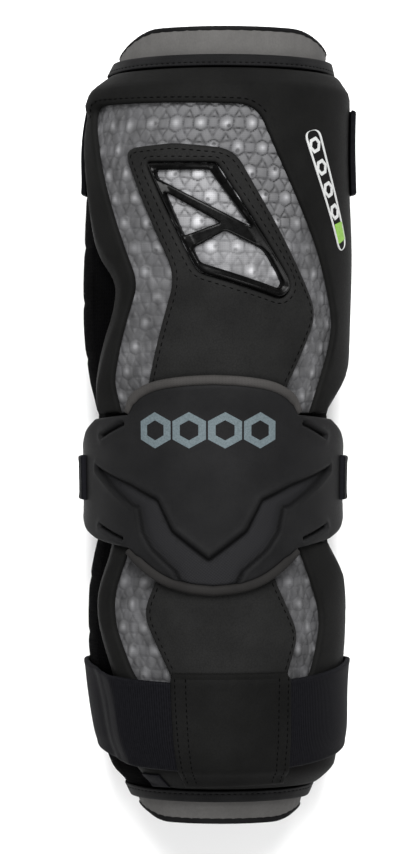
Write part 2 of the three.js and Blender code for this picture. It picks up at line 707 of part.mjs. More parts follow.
const lowerStrapBottom = SLEEVE_BOTTOM + LOWER_STRAP_RISE;
const lowerStrapDip = (u) => LOWER_STRAP_DIP * (Math.max(Math.cos(u / AROUND_RADIUS), 0) - 1);
strap("lower_strap", fullTurn(STRAP_STEPS), lowerStrapBottom, LOWER_STRAP_WIDTH, strapBase, lowerStrapDip);

// The patch that holds the lower strap to the forearm guard, and the pull tab below it
{
  const from = lowerStrapBottom + (LOWER_STRAP_WIDTH - KEEPER_LENGTH) / 2;
  const to = from + KEEPER_LENGTH;
  const rows = [from, ...steps(from + KEEPER_HEM, to - KEEPER_HEM, 3), to];
  const patch = gridMesh(steps(...KEEPER_SIDES.map(aroundToU), 6), rows);
  const base = (u, v) => COVER_TOP + GAP + (v === from || v === to ? 0 : STRAP + 3 * GAP);
  add("strap_keeper", "cover_black", wall(patch, over(onSleeve, base), over(onSleeve, (u, v) => base(u, v) + KEEPER)));

  const tabEnd = LOWER_GUARD_BOTTOM + SEAM;
  const tab = gridMesh(steps(...PULL_TAB_SIDES.map(aroundToU), 2), steps(tabEnd, tabEnd + PULL_TAB_LENGTH, 2));
  const tabBase = (u, v) => coverBase(lowerEdge)(u, v) + PANEL + GAP;
  add("pull_tab", "strap_black", wall(tab, over(onSleeve, tabBase), over(onSleeve, (u, v) => tabBase(u, v) + PULL_TAB)));
}

// The origin is under the middle of the pad, on what it rests on
const bounds = new THREE.Box3().setFromObject(pad);
const middle = bounds.getCenter(new THREE.Vector3());
pad.position.set(-middle.x, -middle.y, -bounds.min.z);

export default pad;
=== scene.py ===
# A lacrosse arm pad lying on its back, seen from straight above its elbow cap.

import math
import bpy
import numpy as np
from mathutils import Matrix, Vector, geometry, noise


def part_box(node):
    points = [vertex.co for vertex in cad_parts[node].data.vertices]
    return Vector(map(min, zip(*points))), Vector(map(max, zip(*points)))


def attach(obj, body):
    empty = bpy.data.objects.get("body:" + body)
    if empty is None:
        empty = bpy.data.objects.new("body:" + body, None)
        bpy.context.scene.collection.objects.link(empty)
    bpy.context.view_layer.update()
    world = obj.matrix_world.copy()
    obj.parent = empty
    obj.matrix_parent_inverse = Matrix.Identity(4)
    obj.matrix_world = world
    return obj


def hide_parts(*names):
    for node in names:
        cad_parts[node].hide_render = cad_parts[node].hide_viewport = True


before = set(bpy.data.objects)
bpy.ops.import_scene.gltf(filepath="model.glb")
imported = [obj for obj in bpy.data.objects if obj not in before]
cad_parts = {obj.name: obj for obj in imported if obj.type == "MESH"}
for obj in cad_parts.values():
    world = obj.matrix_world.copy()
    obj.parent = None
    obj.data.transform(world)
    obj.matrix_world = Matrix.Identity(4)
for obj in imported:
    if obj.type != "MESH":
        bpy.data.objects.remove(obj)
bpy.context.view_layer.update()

MM = 0.001

# Sizes of the pad, in millimetres
PAD_LENGTH = 368
LINER_WIDTH = 100
LINER_DEPTH = 88
LINER_WALL = 2
SIDE_PADDING = 12
FRONT_PADDING = 10
GAP = 0.5
AROUND_RADIUS = 62
BELLY = 1.18
FLAT_KNEE = 3
SLEEVE_FLOOR = 2.5
LINER_FLOOR = 6.0
CUFF_EDGE_WIDTH = 1.9
BINDING_WIDTH = 6
CELL_PAD = 4
PANEL = 2.2
RIM = 9
FOAM_TOP = 4.5
FOAM_SEAT = FOAM_TOP - 0.9  # under the covers and the window's frame
COVER_TOP = 7.2
SEAM = 0.6
CAP_LENGTH = 101
CAP_MIDDLE = -27.25
CAP_RISE = 14
CAP_END_RISE = 10.6
CAP_WING_RISE = 7.8
CAP_BINDING_WIDTH = 4.6
STRAP = 2
CELL_PITCH = 11.75  # from one round cell to the next
ROUND_CELL = 2.45
OVAL_CELL = 2.2
CORNER_CELL = 1.35
# The place of one round cell, and the step from row to row as a share of CELL_PITCH
CELL_ROWS = {"upper_cells": (-7.0, 138.4, 0.965), "lower_cells": (-38.7, -82.5, 0.91)}
AROUND_STEPS = 200  # of the mesh round the pad
STITCH_PITCH = 3.4
STITCH_LENGTH = 2.3
STITCH_WIDTH = 0.55
UV_MM = 100  # millimetres of surface to one unit of UV
CUFF_PROUD = (1.2, 3.0)  # of the cuffs' cloth past the liner's upper and lower end

UPPER_END = PAD_LENGTH / 2
LOWER_END = -PAD_LENGTH / 2
SLEEVE_TOP = UPPER_END - 12.5
SLEEVE_BOTTOM = LOWER_END + 8

# Lower end and length of the pieces along the pad
UPPER_GUARD = (5.9, 159.0)
LOWER_GUARD = (-169.4, 115.5)
CAP = (CAP_MIDDLE, CAP_LENGTH)
UPPER_STRAP = (109.5, 40)
ELBOW_STRAP = (-34.75, 21)
LOWER_STRAP = (-160, 42)
KEEPER = (-168.0, 54.5)
PULL_TAB_LENGTH = 7
SLEEVE_BINDINGS = (("upper", SLEEVE_TOP - BINDING_WIDTH), ("lower", SLEEVE_BOTTOM))
CUFF_EDGES = (("upper", UPPER_END - CUFF_EDGE_WIDTH), ("lower", LOWER_END))
MIDDLE_X = sum(corner[0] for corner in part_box("elbow_strap")) / 2 / MM

# Sections from the wrist to the bicep: along, width, depth, shift, side padding, front padding,
# and the share of padding less on the right
SECTIONS = np.array([
    (-0.5, 0.745, 0.675, 0.035, 0.16, 0.2, 0),
    (-0.478, 0.79, 0.71, 0.032, 0.16, 0.22, 0),
    (-0.457, 0.82, 0.745, 0.028, 0.32, 0.45, 0),
    (-0.443, 0.833, 0.768, 0.02, 0.6, 0.65, 0.05),
    (-0.42, 0.85, 0.798, 0.012, 0.76, 0.82, 0.12),
    (-0.39, 0.866, 0.826, 0.006, 0.94, 0.94, 0.17),
    (-0.33, 0.885, 0.86, 0.0, 1.08, 1.0, 0.3),
    (-0.272, 0.9, 0.885, 0.0, 1.17, 1.0, 0.32),
    (-0.21, 0.9, 0.9, 0.0, 1.14, 1.0, 0.26),
    (-0.165, 0.9, 0.902, 0.0, 0.93, 0.99, 0.1),
    (-0.122, 0.9, 0.902, 0.0, 0.68, 0.95, 0),
    (-0.06, 0.905, 0.905, 0.0, 0.64, 0.95, 0),
    (0.005, 0.915, 0.914, 0.0, 0.68, 0.95, 0),
    (0.06, 0.95, 0.948, 0.0, 0.9, 1.0, 0.15),
    (0.13, 0.984, 0.98, 0.0, 0.99, 1.0, 0.3),
    (0.231, 1.0, 0.993, 0.0, 0.9, 1.0, 0.23),
    (0.34, 1.0, 0.982, 0.004, 0.72, 1.0, 0.19),
    (0.421, 1.0, 0.96, 0.028, 0.52, 0.75, 0.16),
    (0.448, 0.994, 0.948, 0.039, 0.3, 0.45, 0.05),
    (0.466, 0.987, 0.938, 0.045, 0.13, 0.2, 0),
    (0.5, 0.96, 0.914, 0.055, 0.13, 0.2, 0),
])
WIDTH, DEPTH, SHIFT, SIDE, FRONT, RIGHT = range(1, 7)

# Outlines: degrees round from the front, share along the guard, corner cut-back in millimetres
UPPER_GUARD_EDGE = [
    (66, 0, 0), (90, 0.11, 12), (98, 0.3, 12), (98, 0.7, 20), (93, 1, 18), (-77, 1, 18),
    (-77, 0.8, 10), (-58.5, 0.471, 10), (-44, 0.375, 8), (-46.5, 0.29, 6), (-54, 0.201, 8),
    (-62.3, 0.103, 6), (-67.5, 0.03, 3), (-67.5, 0, 0),
]
UPPER_BAND_EDGE = [
    (-45, 0, 0), (-46.2, 0.09, 5), (-31, 0.374, 7), (-63.8, 0.876, 6), (-60, 0.9, 4), (16.5, 0.887, 9),
    (50.4, 0.45, 8), (61.8, 0.27, 10), (59.5, 0.205, 6), (52, 0.088, 6), (48, 0, 0),
]
UPPER_CENTRE_EDGE = [
    (27.5, 0, 0), (33, 0.089, 3), (47.5, 0.287, 9), (8, 0.757, 8), (-16.7, 0.775, 3),
    (-39.5, 0.764, 7), (-14.8, 0.393, 9), (-31, 0, 0),
]
WINDOW_EDGE = [
    (0.8, 0.714, 1.5), (-27.5, 0.718, 1.5), (-9.5, 0.457, 3), (-5.5, 0.405, 3), (27.5, 0.33, 3),
    (31.8, 0.355, 3), (31.2, 0.385, 3),
]
WINDOW_OPENINGS = [
    [(-1.8, 0.696, 1.2), (-23.6, 0.697, 1.2), (-23, 0.674, 1), (15.0, 0.534, 1.2)],
    [(-19.2, 0.633, 1), (-11.3, 0.508, 1.2), (2.6, 0.545, 1)],
    [(-7.8, 0.472, 1.5), (-5, 0.431, 2), (27, 0.358, 1.5), (28.6, 0.375, 1.5), (20.5, 0.468, 4),
     (4.6, 0.522, 1.5)],
]
LOWER_GUARD_EDGE = [
    (-54.5, 1, 0), (-54.5, 0.96, 4), (-62.5, 0.735, 14), (-48, 0.42, 12), (-46, 0, 22), (96, 0, 24),
    (96, 0.62, 12), (89, 0.86, 12), (68, 1, 0),
]
LOWER_BAND_EDGE = [
    (39.5, 1, 0), (47.3, 0.841, 6), (54.8, 0.69, 9), (49, 0.477, 6), (35.2, 0.31, 3),
    (-18.6, 0.31, 3), (-34.8, 0.46, 6), (-47.3, 0.735, 14), (-38.5, 1, 0),
]
LOWER_CENTRE_EDGE = [
    (-17.5, 0.32, 0), (34, 0.32, 0), (33.2, 0.47, 3), (38.4, 0.634, 6), (27.2, 0.839, 7),
    (21, 1, 0), (-18, 1, 0), (-29.5, 0.72, 7), (-17.6, 0.47, 4),
]
CAP_TOP = [(0, 0.5, 0), (12, 0.494, 8), (25, 0.472, 8), (35, 0.42, 7), (39.5, 0.335, 0)]
CAP_SIDE = [
    (61, 0.302, 8), (77, 0.235, 8), (92, 0.11, 8), (92, -0.1, 8), (77, -0.2, 8), (60, -0.25, 8),
]
CAP_BOTTOM = [(38, -0.308, 0), (31, -0.375, 8), (21, -0.45, 8), (10.5, -0.49, 8), (0, -0.5, 0)]
CHANNEL_INNER = [(60, 0.088, 0), (35, 0.01, 2), (21, -0.06, 1.5), (14.5, -0.2, 1.5), (0, -0.325, 0)]
CHANNEL_OUTER = [
    (0, -0.53, 0), (7.5, -0.53, 0), (13.5, -0.39, 1), (24, -0.29, 1.5), (29, -0.215, 1),
    (31.5, -0.105, 0.5), (34, -0.1, 0.5), (60, 0.065, 0),
]
CHANNEL_SHIFT = 1.9  # of the channel's point to the left
WING_STEP = (55, 75)  # degrees over which the cap's wing rises again
WING_TIP = (80, 92)  # degrees over which it thins
COVERS_END = (53, 69)  # degrees over which the cap comes down from the covers to the sleeve
CHANNEL_REACH = 60  # degrees from the front to the channel's ends
SLITS = [((40, 0.28), (55, 0.222)), ((40, -0.245), (56, -0.19))]

# Degrees round from the front
KEEPER_SIDES = (-17, 33.5)
KEEPER_FOLDS = (-12.5, 28.5)
KEEPER_SEAMS = (-14.6, -10.4, 26.4, 30.6)
PULL_TAB_SIDES = (-40, -28)


# The pad's surface: u runs round it from the front at AROUND_RADIUS, v along it

def smoothstep(x, a, b):
    t = np.clip((np.asarray(x, float) - a) / (b - a), 0, 1)
    return t * t * (3 - 2 * t)


def section_at(column, v):
    along = np.clip(np.asarray(v, float) / PAD_LENGTH, -0.5, 0.5)
    rows = SECTIONS[:, 0]
    i = np.clip(np.searchsorted(rows, along), 1, len(rows) - 1)
    values = SECTIONS[:, column]
    slopes = np.empty(len(rows))
    slopes[1:-1] = (values[2:] - values[:-2]) / (rows[2:] - rows[:-2])
    slopes[0] = (values[1] - values[0]) / (rows[1] - rows[0])
    slopes[-1] = (values[-1] - values[-2]) / (rows[-1] - rows[-2])
    span = rows[i] - rows[i - 1]
    t = (along - rows[i - 1]) / span
    return (
        values[i - 1] * (2 * t**3 - 3 * t**2 + 1) + slopes[i - 1] * span * (t**3 - 2 * t**2 + t)
        + values[i] * (3 * t**2 - 2 * t**3) + slopes[i] * span * (t**3 - t**2)
    )


def on_ring(u, v, height, half_width, top, floor):
    angle = u / AROUND_RADIUS
    axis = LINER_FLOOR + LINER_DEPTH * section_at(DEPTH, v) / 2
    reach = np.where(np.cos(angle) >= 0, top - axis, (axis - floor) * BELLY)
    x = LINER_WIDTH * section_at(SHIFT, v) + (half_width + height) * np.sin(angle)
    z = axis + (reach + height) * np.cos(angle)
    low = floor - height
    knee = low + np.maximum(z - low + FLAT_KNEE, 0) ** 2 / (4 * FLAT_KNEE)
    z = np.where(z >= low + FLAT_KNEE, z, np.where(z <= low - FLAT_KNEE, low, knee))
    return np.stack([x + MIDDLE_X, v, np.maximum(z, 0)], axis=-1) * MM


def on_liner(u, v, height):
    u, v = np.asarray(u, float), np.asarray(v, float)
    top = LINER_FLOOR + LINER_DEPTH * section_at(DEPTH, v)
    return on_ring(u, v, height, LINER_WIDTH * section_at(WIDTH, v) / 2, top, LINER_FLOOR)


def on_sleeve(u, v, height):
    u, v = np.asarray(u, float), np.asarray(v, float)
    thinner = section_at(RIGHT, v) * smoothstep(np.sin(u / AROUND_RADIUS), 0, 1)
    padding = SIDE_PADDING * (section_at(SIDE, v) - thinner)
    half_width = LINER_WIDTH * section_at(WIDTH, v) / 2 + GAP + padding
    top = LINER_FLOOR + LINER_DEPTH * section_at(DEPTH, v) + GAP + FRONT_PADDING * section_at(FRONT, v)
    return on_ring(u, v, height, half_width, top, SLEEVE_FLOOR)


def to_u(degrees):
    return np.radians(degrees) * AROUND_RADIUS


TURN = 2 * math.pi * AROUND_RADIUS


def near_front(u):
    return u - TURN * np.round(u / TURN)


def path(rows, start, length, fine=7):
    """The places of an outline's rows, with each corner rounded."""
    corners = [np.array([to_u(around), start + along * length]) for around, along, _ in rows]
    places = []
    for i, corner in enumerate(corners):
        cut = rows[i][2]
        if not cut or i in (0, len(corners) - 1):
            places.append(corner)
            continue
        ends = []
        for other in (corners[i - 1], corners[i + 1]):
            away = other - corner
            size = np.linalg.norm(away)
            ends.append(corner + away / size * min(cut, 0.45 * size))
        for t in np.linspace(0, 1, fine):
            places.append(ends[0] * (1 - t) ** 2 + corner * 2 * t * (1 - t) + ends[1] * t**2)
    return np.array(places)


def loop(rows, start, length, fine=7):
    ends = [(*rows[-1][:2], 0), *rows, (*rows[0][:2], 0)]
    return path(ends, start, length, fine)[1:-1]


def mirrored(rows):
    return [(-around, along, corner) for around, along, corner in rows][::-1]


def beside(places, distance):
    """Places moved to the left of the way the path runs."""
    ahead = np.gradient(places, axis=0)
    ahead /= np.linalg.norm(ahead, axis=1)[:, None]
    return places + np.stack([-ahead[:, 1], ahead[:, 0]], axis=1) * np.reshape(distance, (-1, 1))


def beside_loop(ring, distance):
    return beside(np.vstack([ring[-1:], ring, ring[:1]]), distance)[1:-1]


def resampled(places, step, closed=False):
    if closed:
        places = np.vstack([places, places[:1]])
    out = [places[0]]
    for a, b in zip(places[:-1], places[1:]):
        count = max(1, math.ceil(np.linalg.norm(b - a) / step))
        out.extend(a + (b - a) * k / count for k in range(1, count + 1))
    return np.array(out[:-1] if closed else out)


def left_of(edge, u, v):
    """Distance to an open path, positive to its left."""
    p = np.stack([np.ravel(u), np.ravel(v)], axis=1).astype(float)
    best = np.full(len(p), np.inf)
    signed = np.full(len(p), np.inf)
    for a, b in zip(edge[:-1], edge[1:]):
        d = b - a
        size = d @ d
        if size < 1e-12:
            continue
        t = np.clip((p - a) @ d / size, 0, 1)
        off = p - a - t[:, None] * d
        away = np.hypot(off[:, 0], off[:, 1])
        side = np.where(d[0] * (p[:, 1] - a[1]) - d[1] * (p[:, 0] - a[0]) >= 0, 1, -1)
        nearer = away < best - 1e-9
        best = np.where(nearer, away, best)
        signed = np.where(nearer, side * away, signed)
    return signed.reshape(np.shape(u))


def distance_to(edge, u, v):
    return np.abs(left_of(np.vstack([edge, edge[:1]]), u, v))


def inside(ring, u, v):
    u, v = np.asarray(u, float), np.asarray(v, float)
    hit = np.zeros(u.shape, bool)
    for a, b in zip(ring, np.roll(ring, -1, axis=0)):
        if a[1] == b[1]:
            continue
        crosses = (a[1] > v) != (b[1] > v)
        hit ^= crosses & (u < (b[0] - a[0]) * (v - a[1]) / (b[1] - a[1]) + a[0])
    return hit


def within(loops, u, v):
    """True inside the first loop and outside the others."""
    hit = inside(loops[0], u, v)
    for hole in loops[1:]:
        hit &= ~inside(hole, u, v)
    return hit


def nearest(loops, u, v):
    return np.min([distance_to(ring, u, v) for ring in loops], axis=0)


def constant(height):
    return lambda u, v: height + 0 * u


upper_edge = path(UPPER_GUARD_EDGE, *UPPER_GUARD)
lower_edge = path(LOWER_GUARD_EDGE, *LOWER_GUARD)


# Meshes

def add_object(name, data):
    made = bpy.data.objects.new(name, data)
    bpy.context.scene.collection.objects.link(made)
    return made


def make(name, points, faces, places, material, sharp=38):
    """A piece from points in metres and faces, with the surface's places as its UV."""
    mesh = bpy.data.meshes.new(name)
    mesh.from_pydata([tuple(p) for p in points], [], faces)
    corner = np.empty(len(mesh.loops), dtype=np.int32)
    mesh.loops.foreach_get("vertex_index", corner)
    layer = mesh.uv_layers.new(name="surface")
    layer.data.foreach_set("uv", (np.asarray(places)[corner] / UV_MM).astype(np.float32).ravel())
    mesh.materials.append(material)
    mesh.validate()
    mesh.shade_smooth()
    mesh.set_sharp_from_angle(angle=math.radians(sharp))
    piece = add_object(name, mesh)
    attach(piece, "root")
    return piece


def places_of(piece):
    """Where each face corner and each vertex of a piece lies on the surface."""
    mesh = piece.data
    corner = np.empty(len(mesh.loops), dtype=np.int32)
    mesh.loops.foreach_get("vertex_index", corner)
    at_corners = np.empty(len(mesh.loops) * 2, dtype=np.float32)
    mesh.uv_layers[0].data.foreach_get("uv", at_corners)
    at_corners = at_corners.reshape(-1, 2) * UV_MM
    at_vertices = np.zeros((len(mesh.vertices), 2))
    at_vertices[corner] = at_corners
    return at_corners, at_vertices


def paint(piece, name, values):
    """Adds an attribute with a value for each vertex."""
    layer = piece.data.attributes.new(name, "FLOAT", "POINT")
    layer.data.foreach_set("value", values.astype(np.float32))


def flat_mesh(loops, points):
    """Triangles that fill the loops, the first of them round the others, through the points."""
    edges = []
    start = 0
    for ring in loops:
        count = len(ring)
        edges += [(start + i, start + (i + 1) % count) for i in range(count)]
        start += count
    every = [Vector(p) for ring in loops for p in ring] + [Vector(p) for p in points]
    places, _, faces, origin, _, _ = geometry.delaunay_2d_cdt(every, edges, [], 1, 1e-5)
    places = np.array([tuple(p) for p in places])
    faces = np.array([f for f in faces if len(f) == 3])
    a, b, c = (places[faces[:, k]] for k in range(3))
    middle = (a + b + c) / 3
    faces = faces[within(loops, middle[:, 0], middle[:, 1])]
    a, b, c = (places[faces[:, k]] for k in range(3))
    across, up = (b - a).T
    area = across * (c[:, 1] - a[:, 1]) - up * (c[:, 0] - a[:, 0])
    faces = np.where((area < 0)[:, None], faces[:, ::-1], faces)
    found = {source: i for i, sources in enumerate(origin) for source in sources}
    return places, faces, found


ROW_SHARE = 0.866  # of rows of equal triangles


def hexagonal_grid(low, high, step):
    rows = np.arange(low[1], high[1], step * ROW_SHARE)
    columns = np.arange(low[0], high[0], step)
    return np.array([(u + (j % 2) * step / 2, v) for j, v in enumerate(rows) for u in columns])


def panel(name, outline, base, top, material, holes=(), step=2.4, edge_step=1.2,
          rings=(0.35, 0.9, 1.8), grid=None, sharp=38):
    """A closed sheet over the sleeve. top(u, v, d) gets the distance d from the outline or a hole."""
    loops = [resampled(np.asarray(ring), edge_step, closed=True) for ring in (outline, *holes)]
    low, high = loops[0].min(axis=0), loops[0].max(axis=0)

    def clear(points, room):
        points = points[within(loops, *points.T)]
        return points[nearest(loops, *points.T) > room]

    inner = [clear(hexagonal_grid(low, high, step) if grid is None else grid, rings[-1] + 0.3 * step)]
    for ring_at in rings:
        for ring in loops:
            both = [beside_loop(ring, side * ring_at) for side in (-1, 1)]
            inner.append(clear(np.vstack(both), 0.9 * ring_at))
    places, faces, found = flat_mesh(loops, np.vstack(inner))
    count = len(places)
    u, v = places.T
    away = nearest(loops, u, v)
    away[away < 1e-3] = 0
    coarse = clear(hexagonal_grid(low, high, max(step, 6)), 2.0)
    under, under_faces, under_found = flat_mesh(loops, coarse)
    points = np.vstack([on_sleeve(u, v, top(u, v, away)), on_sleeve(*under.T, base(*under.T))])
    all_faces = [tuple(map(int, f)) for f in faces]
    all_faces += [tuple(int(k) + count for k in f[::-1]) for f in under_faces]
    start = 0
    for k, ring in enumerate(loops):
        size = len(ring)
        turn = 0.5 * np.sum(ring[:, 0] * np.roll(ring[:, 1], -1) - ring[:, 1] * np.roll(ring[:, 0], -1))
        for i in range(size):
            a, b = start + i, start + (i + 1) % size
            if (turn > 0) != (k == 0):
                a, b = b, a
            quad = (found[b], found[a], under_found[a] + count, under_found[b] + count)
            all_faces.append(tuple(int(q) for q in quad))
        start += size
    return make(name, points, all_faces, np.vstack([places, under]), material, sharp)


def no_dip(u):
    return 0 * u


def shell(name, us, vs, base, top, material, surface=on_sleeve, wrap=False, dip=no_dip):
    """A closed band over the surface on rows and columns, or a full ring where wrap is set."""
    columns = len(us)
    u, v = np.meshgrid(us, vs)
    v = v - dip(u)
    u, v = u.ravel(), v.ravel()
    count = len(u)
    points = np.vstack([surface(u, v, top(u, v)), surface(u, v, base(u, v))])
    rows = len(vs)
    faces = []
    last = columns if wrap else columns - 1
    at = lambda i, j: j * columns + i % columns
    for j in range(rows - 1):
        for i in range(last):
            a, b, c, d = at(i, j), at(i + 1, j), at(i + 1, j + 1), at(i, j + 1)
            faces += [(a, b, c, d), (d + count, c + count, b + count, a + count)]
    rim = []
    for i in range(last):
        rim += [(at(i, 0), at(i + 1, 0)), (at(i + 1, rows - 1), at(i, rows - 1))]
    for j in range(0 if wrap else rows - 1):
        rim += [(at(0, j + 1), at(0, j)), (at(columns - 1, j), at(columns - 1, j + 1))]
    faces += [(b, a, a + count, b + count) for a, b in rim]
    places = np.stack([np.tile(u, 2), np.tile(v, 2)], axis=1)
    return make(name, points, faces, places, material)


def rounded(d, radius):
    """How far a rounded edge has risen at a distance in from it, from 0 to 1."""
    t = 1 - np.clip(d / radius, 0, 1)
    return np.sqrt(np.maximum(1 - t * t, 0))


def with_edges(low, high, step, edge=(0, 0.3, 0.8, 1.5)):
    """Values from low to high by about a step, closer together at both ends."""
    edge = np.array(edge)
    count = max(2, math.ceil((high - low - 2 * edge[-1]) / step))
    middle = np.linspace(low + edge[-1], high - edge[-1], count + 1)[1:-1]
    return np.concatenate([low + edge, middle, high - edge[::-1]])


def full_turn(count):
    return np.linspace(-TURN / 2, TURN / 2, count, endpoint=False)


def ripple(u, v, size, seed=0.0):
    """A smooth random height from -1 to 1, the same where the ring meets itself."""
    angle = np.ravel(u) / AROUND_RADIUS
    reach = AROUND_RADIUS / size
    values = [
        noise.noise(Vector((math.cos(a) * reach + seed, math.sin(a) * reach - seed, w / size)))
        for a, w in zip(angle, np.ravel(v))
    ]
    return np.array(values).reshape(np.shape(u))


# Materials

class Net:
    """Adds nodes to a tree and joins them."""

    def __init__(self, tree):
        self.tree = tree

    def add(self, kind, values=None, **settings):
        made = self.tree.nodes.new(kind)
        for name, value in settings.items():
            setattr(made, name, value)
        for name, value in (values or {}).items():
            self.feed(made.inputs[name], value)
        return made

    def feed(self, socket, value):
        if isinstance(value, bpy.types.NodeSocket):
            self.tree.links.new(value, socket)
        elif isinstance(value, bpy.types.Node):
            self.tree.links.new(value.outputs[0], socket)
        else:
            socket.default_value = value

    def math(self, operation, *values):
        made = self.tree.nodes.new("ShaderNodeMath")
        made.operation = operation
        for socket, value in zip(made.inputs, values):
            self.feed(socket, value)
        return made.outputs[0]

    def blend(self, factor, a, b):
        made = self.tree.nodes.new("ShaderNodeMix")
        made.data_type = "RGBA"
        for socket, value in ((0, factor), (6, a), (7, b)):
            self.feed(made.inputs[socket], value)
        return made.outputs[2]

    def between(self, value, low, high, to_low=0.0, to_high=1.0):
        made = self.tree.nodes.new("ShaderNodeMapRange")
        for socket, given in zip(made.inputs, (value, low, high, to_low, to_high)):
            self.feed(socket, given)
        return made.outputs[0]

    def bump(self, height, millimetres, strength):
        values = {"Strength": strength, "Distance": millimetres * MM, "Height": height}
        return self.add("ShaderNodeBump", values).outputs[0]

    def coordinates(self, output="Object", scale=(1, 1, 1), turn=0.0):
        source = self.add("ShaderNodeTexCoord").outputs[output]
        values = {"Vector": source, "Scale": scale, "Rotation": (0, 0, turn)}
        return self.add("ShaderNodeMapping", values).outputs[0]

    def noise(self, scale, detail, where=None, roughness=0.5):
        where = self.coordinates() if where is None else where
        values = {"Vector": where, "Scale": scale, "Detail": detail, "Roughness": roughness}
        return self.add("ShaderNodeTexNoise", values).outputs[0]

    def attribute(self, name):
        return self.add("ShaderNodeAttribute", attribute_name=name).outputs["Fac"]

    def group(self, tree, values):
        made = self.add("ShaderNodeGroup", node_tree=tree)
        for name, value in values.items():
            self.feed(made.inputs[name], value)
        return made.outputs

    def product(self, a, b):
        return self.math("MULTIPLY", a, b)


def node_group(name, tree_kind, inputs, outputs, fill):
    """inputs and outputs are names and kinds; fill(net, entry) returns the outputs' values."""
    tree = bpy.data.node_groups.new(name, tree_kind)
    for label, kind, value in inputs:
        socket = tree.interface.new_socket(label, in_out="INPUT", socket_type="NodeSocket" + kind)
        if value is not None:
            socket.default_value = value
    for label, kind in outputs:
        tree.interface.new_socket(label, in_out="OUTPUT", socket_type="NodeSocket" + kind)
    net = Net(tree)
    entry = net.add("NodeGroupInput").outputs
    leave = net.add("NodeGroupOutput").inputs
    for (label, _), value in zip(outputs, fill(net, entry)):
        net.feed(leave[label], value)
    return tree


def grain_inside(net, entry):
    in_millimetres = {0: entry["Place"], 1: (1000, 1000, 1000)}
    where = net.add("ShaderNodeVectorMath", in_millimetres, operation="MULTIPLY")
    pebbles = {"Vector": where, "Scale": entry["Pebbles"], "Randomness": 0.9}
    pebble = net.add("ShaderNodeTexVoronoi", pebbles, feature="F1")
    creases = {"Vector": where, "Scale": net.product(entry["Pebbles"], 0.55)}
    crease = net.add("ShaderNodeTexVoronoi", creases, feature="DISTANCE_TO_EDGE")
    broad = net.noise(0.045, 3.0, where, 0.6)
    fine = net.noise(0.9, 2.0, where)
    edge = net.between(crease.outputs["Distance"], 0.0, 0.14)
    grooves = net.math("ADD", net.product(edge, 0.35), net.product(fine, 0.25))
    rise = net.product(net.math("SUBTRACT", 1.0, pebble.outputs["Distance"]), 0.55)
    return net.math("ADD", rise, grooves), broad, fine


GRAIN = node_group(
    "Leather grain", "ShaderNodeTree",
    [("Place", "Vector", None), ("Pebbles", "Float", 1.4)],
    [("Height", "Float"), ("Broad Variation", "Float"), ("Fine Variation", "Float")],
    grain_inside,
)


def ribs_inside(net, entry):
    split = net.add("ShaderNodeSeparateXYZ", {"Vector": entry["Surface"]})
    waver = net.noise(60.0, 2.0, entry["Surface"])
    sway = net.product(net.math("SUBTRACT", waver, 0.5), 1.2)
    across, along = (
        net.math("SINE", net.math("ADD", net.product(net.product(place, entry[pitch]), 2 * math.pi), sway))
        for place, pitch in zip(split.outputs, ("Ribs Across", "Ribs Along"))
    )
    weave = net.product(net.product(along, across), net.math("SUBTRACT", 1.0, entry["Rib Share"]))
    ridge = net.math("ADD", net.product(across, entry["Rib Share"]), weave)
    return net.between(ridge, -1.0, 1.0), waver


RIBS = node_group(
    "Woven ribs", "ShaderNodeTree",
    [("Surface", "Vector", None), ("Ribs Across", "Float", 80.0), ("Ribs Along", "Float", 120.0),
     ("Rib Share", "Float", 0.6)],
    [("Height", "Float"), ("Variation", "Float")],
    ribs_inside,
)


def mesh_inside(net, entry):
    scaled = {0: entry["Surface"], 1: entry["Holes"]}
    where = net.add("ShaderNodeVectorMath", scaled, operation="MULTIPLY")
    holes = {"Vector": where, "Scale": 1.0, "Randomness": 0.18}
    hole = net.add("ShaderNodeTexVoronoi", holes, feature="F1", voronoi_dimensions="2D")
    thread = net.between(hole.outputs["Distance"], 0.16, 0.42)
    return thread, net.noise(9.0, 3.0, entry["Surface"])


MESH = node_group(
    "Knitted mesh", "ShaderNodeTree",
    [("Surface", "Vector", None), ("Holes", "Vector", (60.0, 60.0, 1.0))],
    [("Thread", "Float"), ("Variation", "Float")],
    mesh_inside,
)


def material(name, fill, roughness, level, sheen=0.0):
    """fill(net) returns the base colour, and the roughness and normal where they vary."""
    made = bpy.data.materials.new(name)
    made.use_nodes = True
    made.node_tree.nodes.clear()
    net = Net(made.node_tree)
    shader = net.add("ShaderNodeBsdfPrincipled", {
        "Roughness": roughness, "Specular IOR Level": level, "Sheen Weight": sheen, "Sheen Roughness": 0.4,
    })
    for label, value in zip(("Base Color", "Roughness", "Normal"), fill(net)):
        if value is not None:
            net.feed(shader.inputs[label], value)
    net.feed(net.add("ShaderNodeOutputMaterial").inputs["Surface"], shader)
    return made


def shade(*rgb):
    """A colour from three values, or a grey from one."""
    return (*(rgb if len(rgb) == 3 else rgb * 3), 1.0)


def crease_shaded(net, colour, share):
    """The colour with painted shade: darker where the attribute crease is high, the shade that falls on the
    slopes along the edge of the cap's channel.
    """
    return net.blend(net.product(net.attribute("crease"), share), colour, shade(0.0015))


def leather(dark, light, pebbles, depth, rough, with_crease_shade=False):
    def fill(net):
        grain = net.group(GRAIN, {"Place": net.coordinates(), "Pebbles": pebbles})
        colour = net.blend(net.between(grain["Broad Variation"], 0.3, 0.7), dark, light)
        colour = net.blend(net.between(grain["Height"], 0.35, 0.8, 0.35, 0.0), colour, shade(0.0025))
        # Painted shade along the edge of the cap's channel
        if with_crease_shade:
            colour = crease_shaded(net, colour, 0.8)
        roughness = net.between(grain["Fine Variation"], 0.3, 0.7, *rough)
        return colour, roughness, net.bump(grain["Height"], depth, 0.5)
    return fill


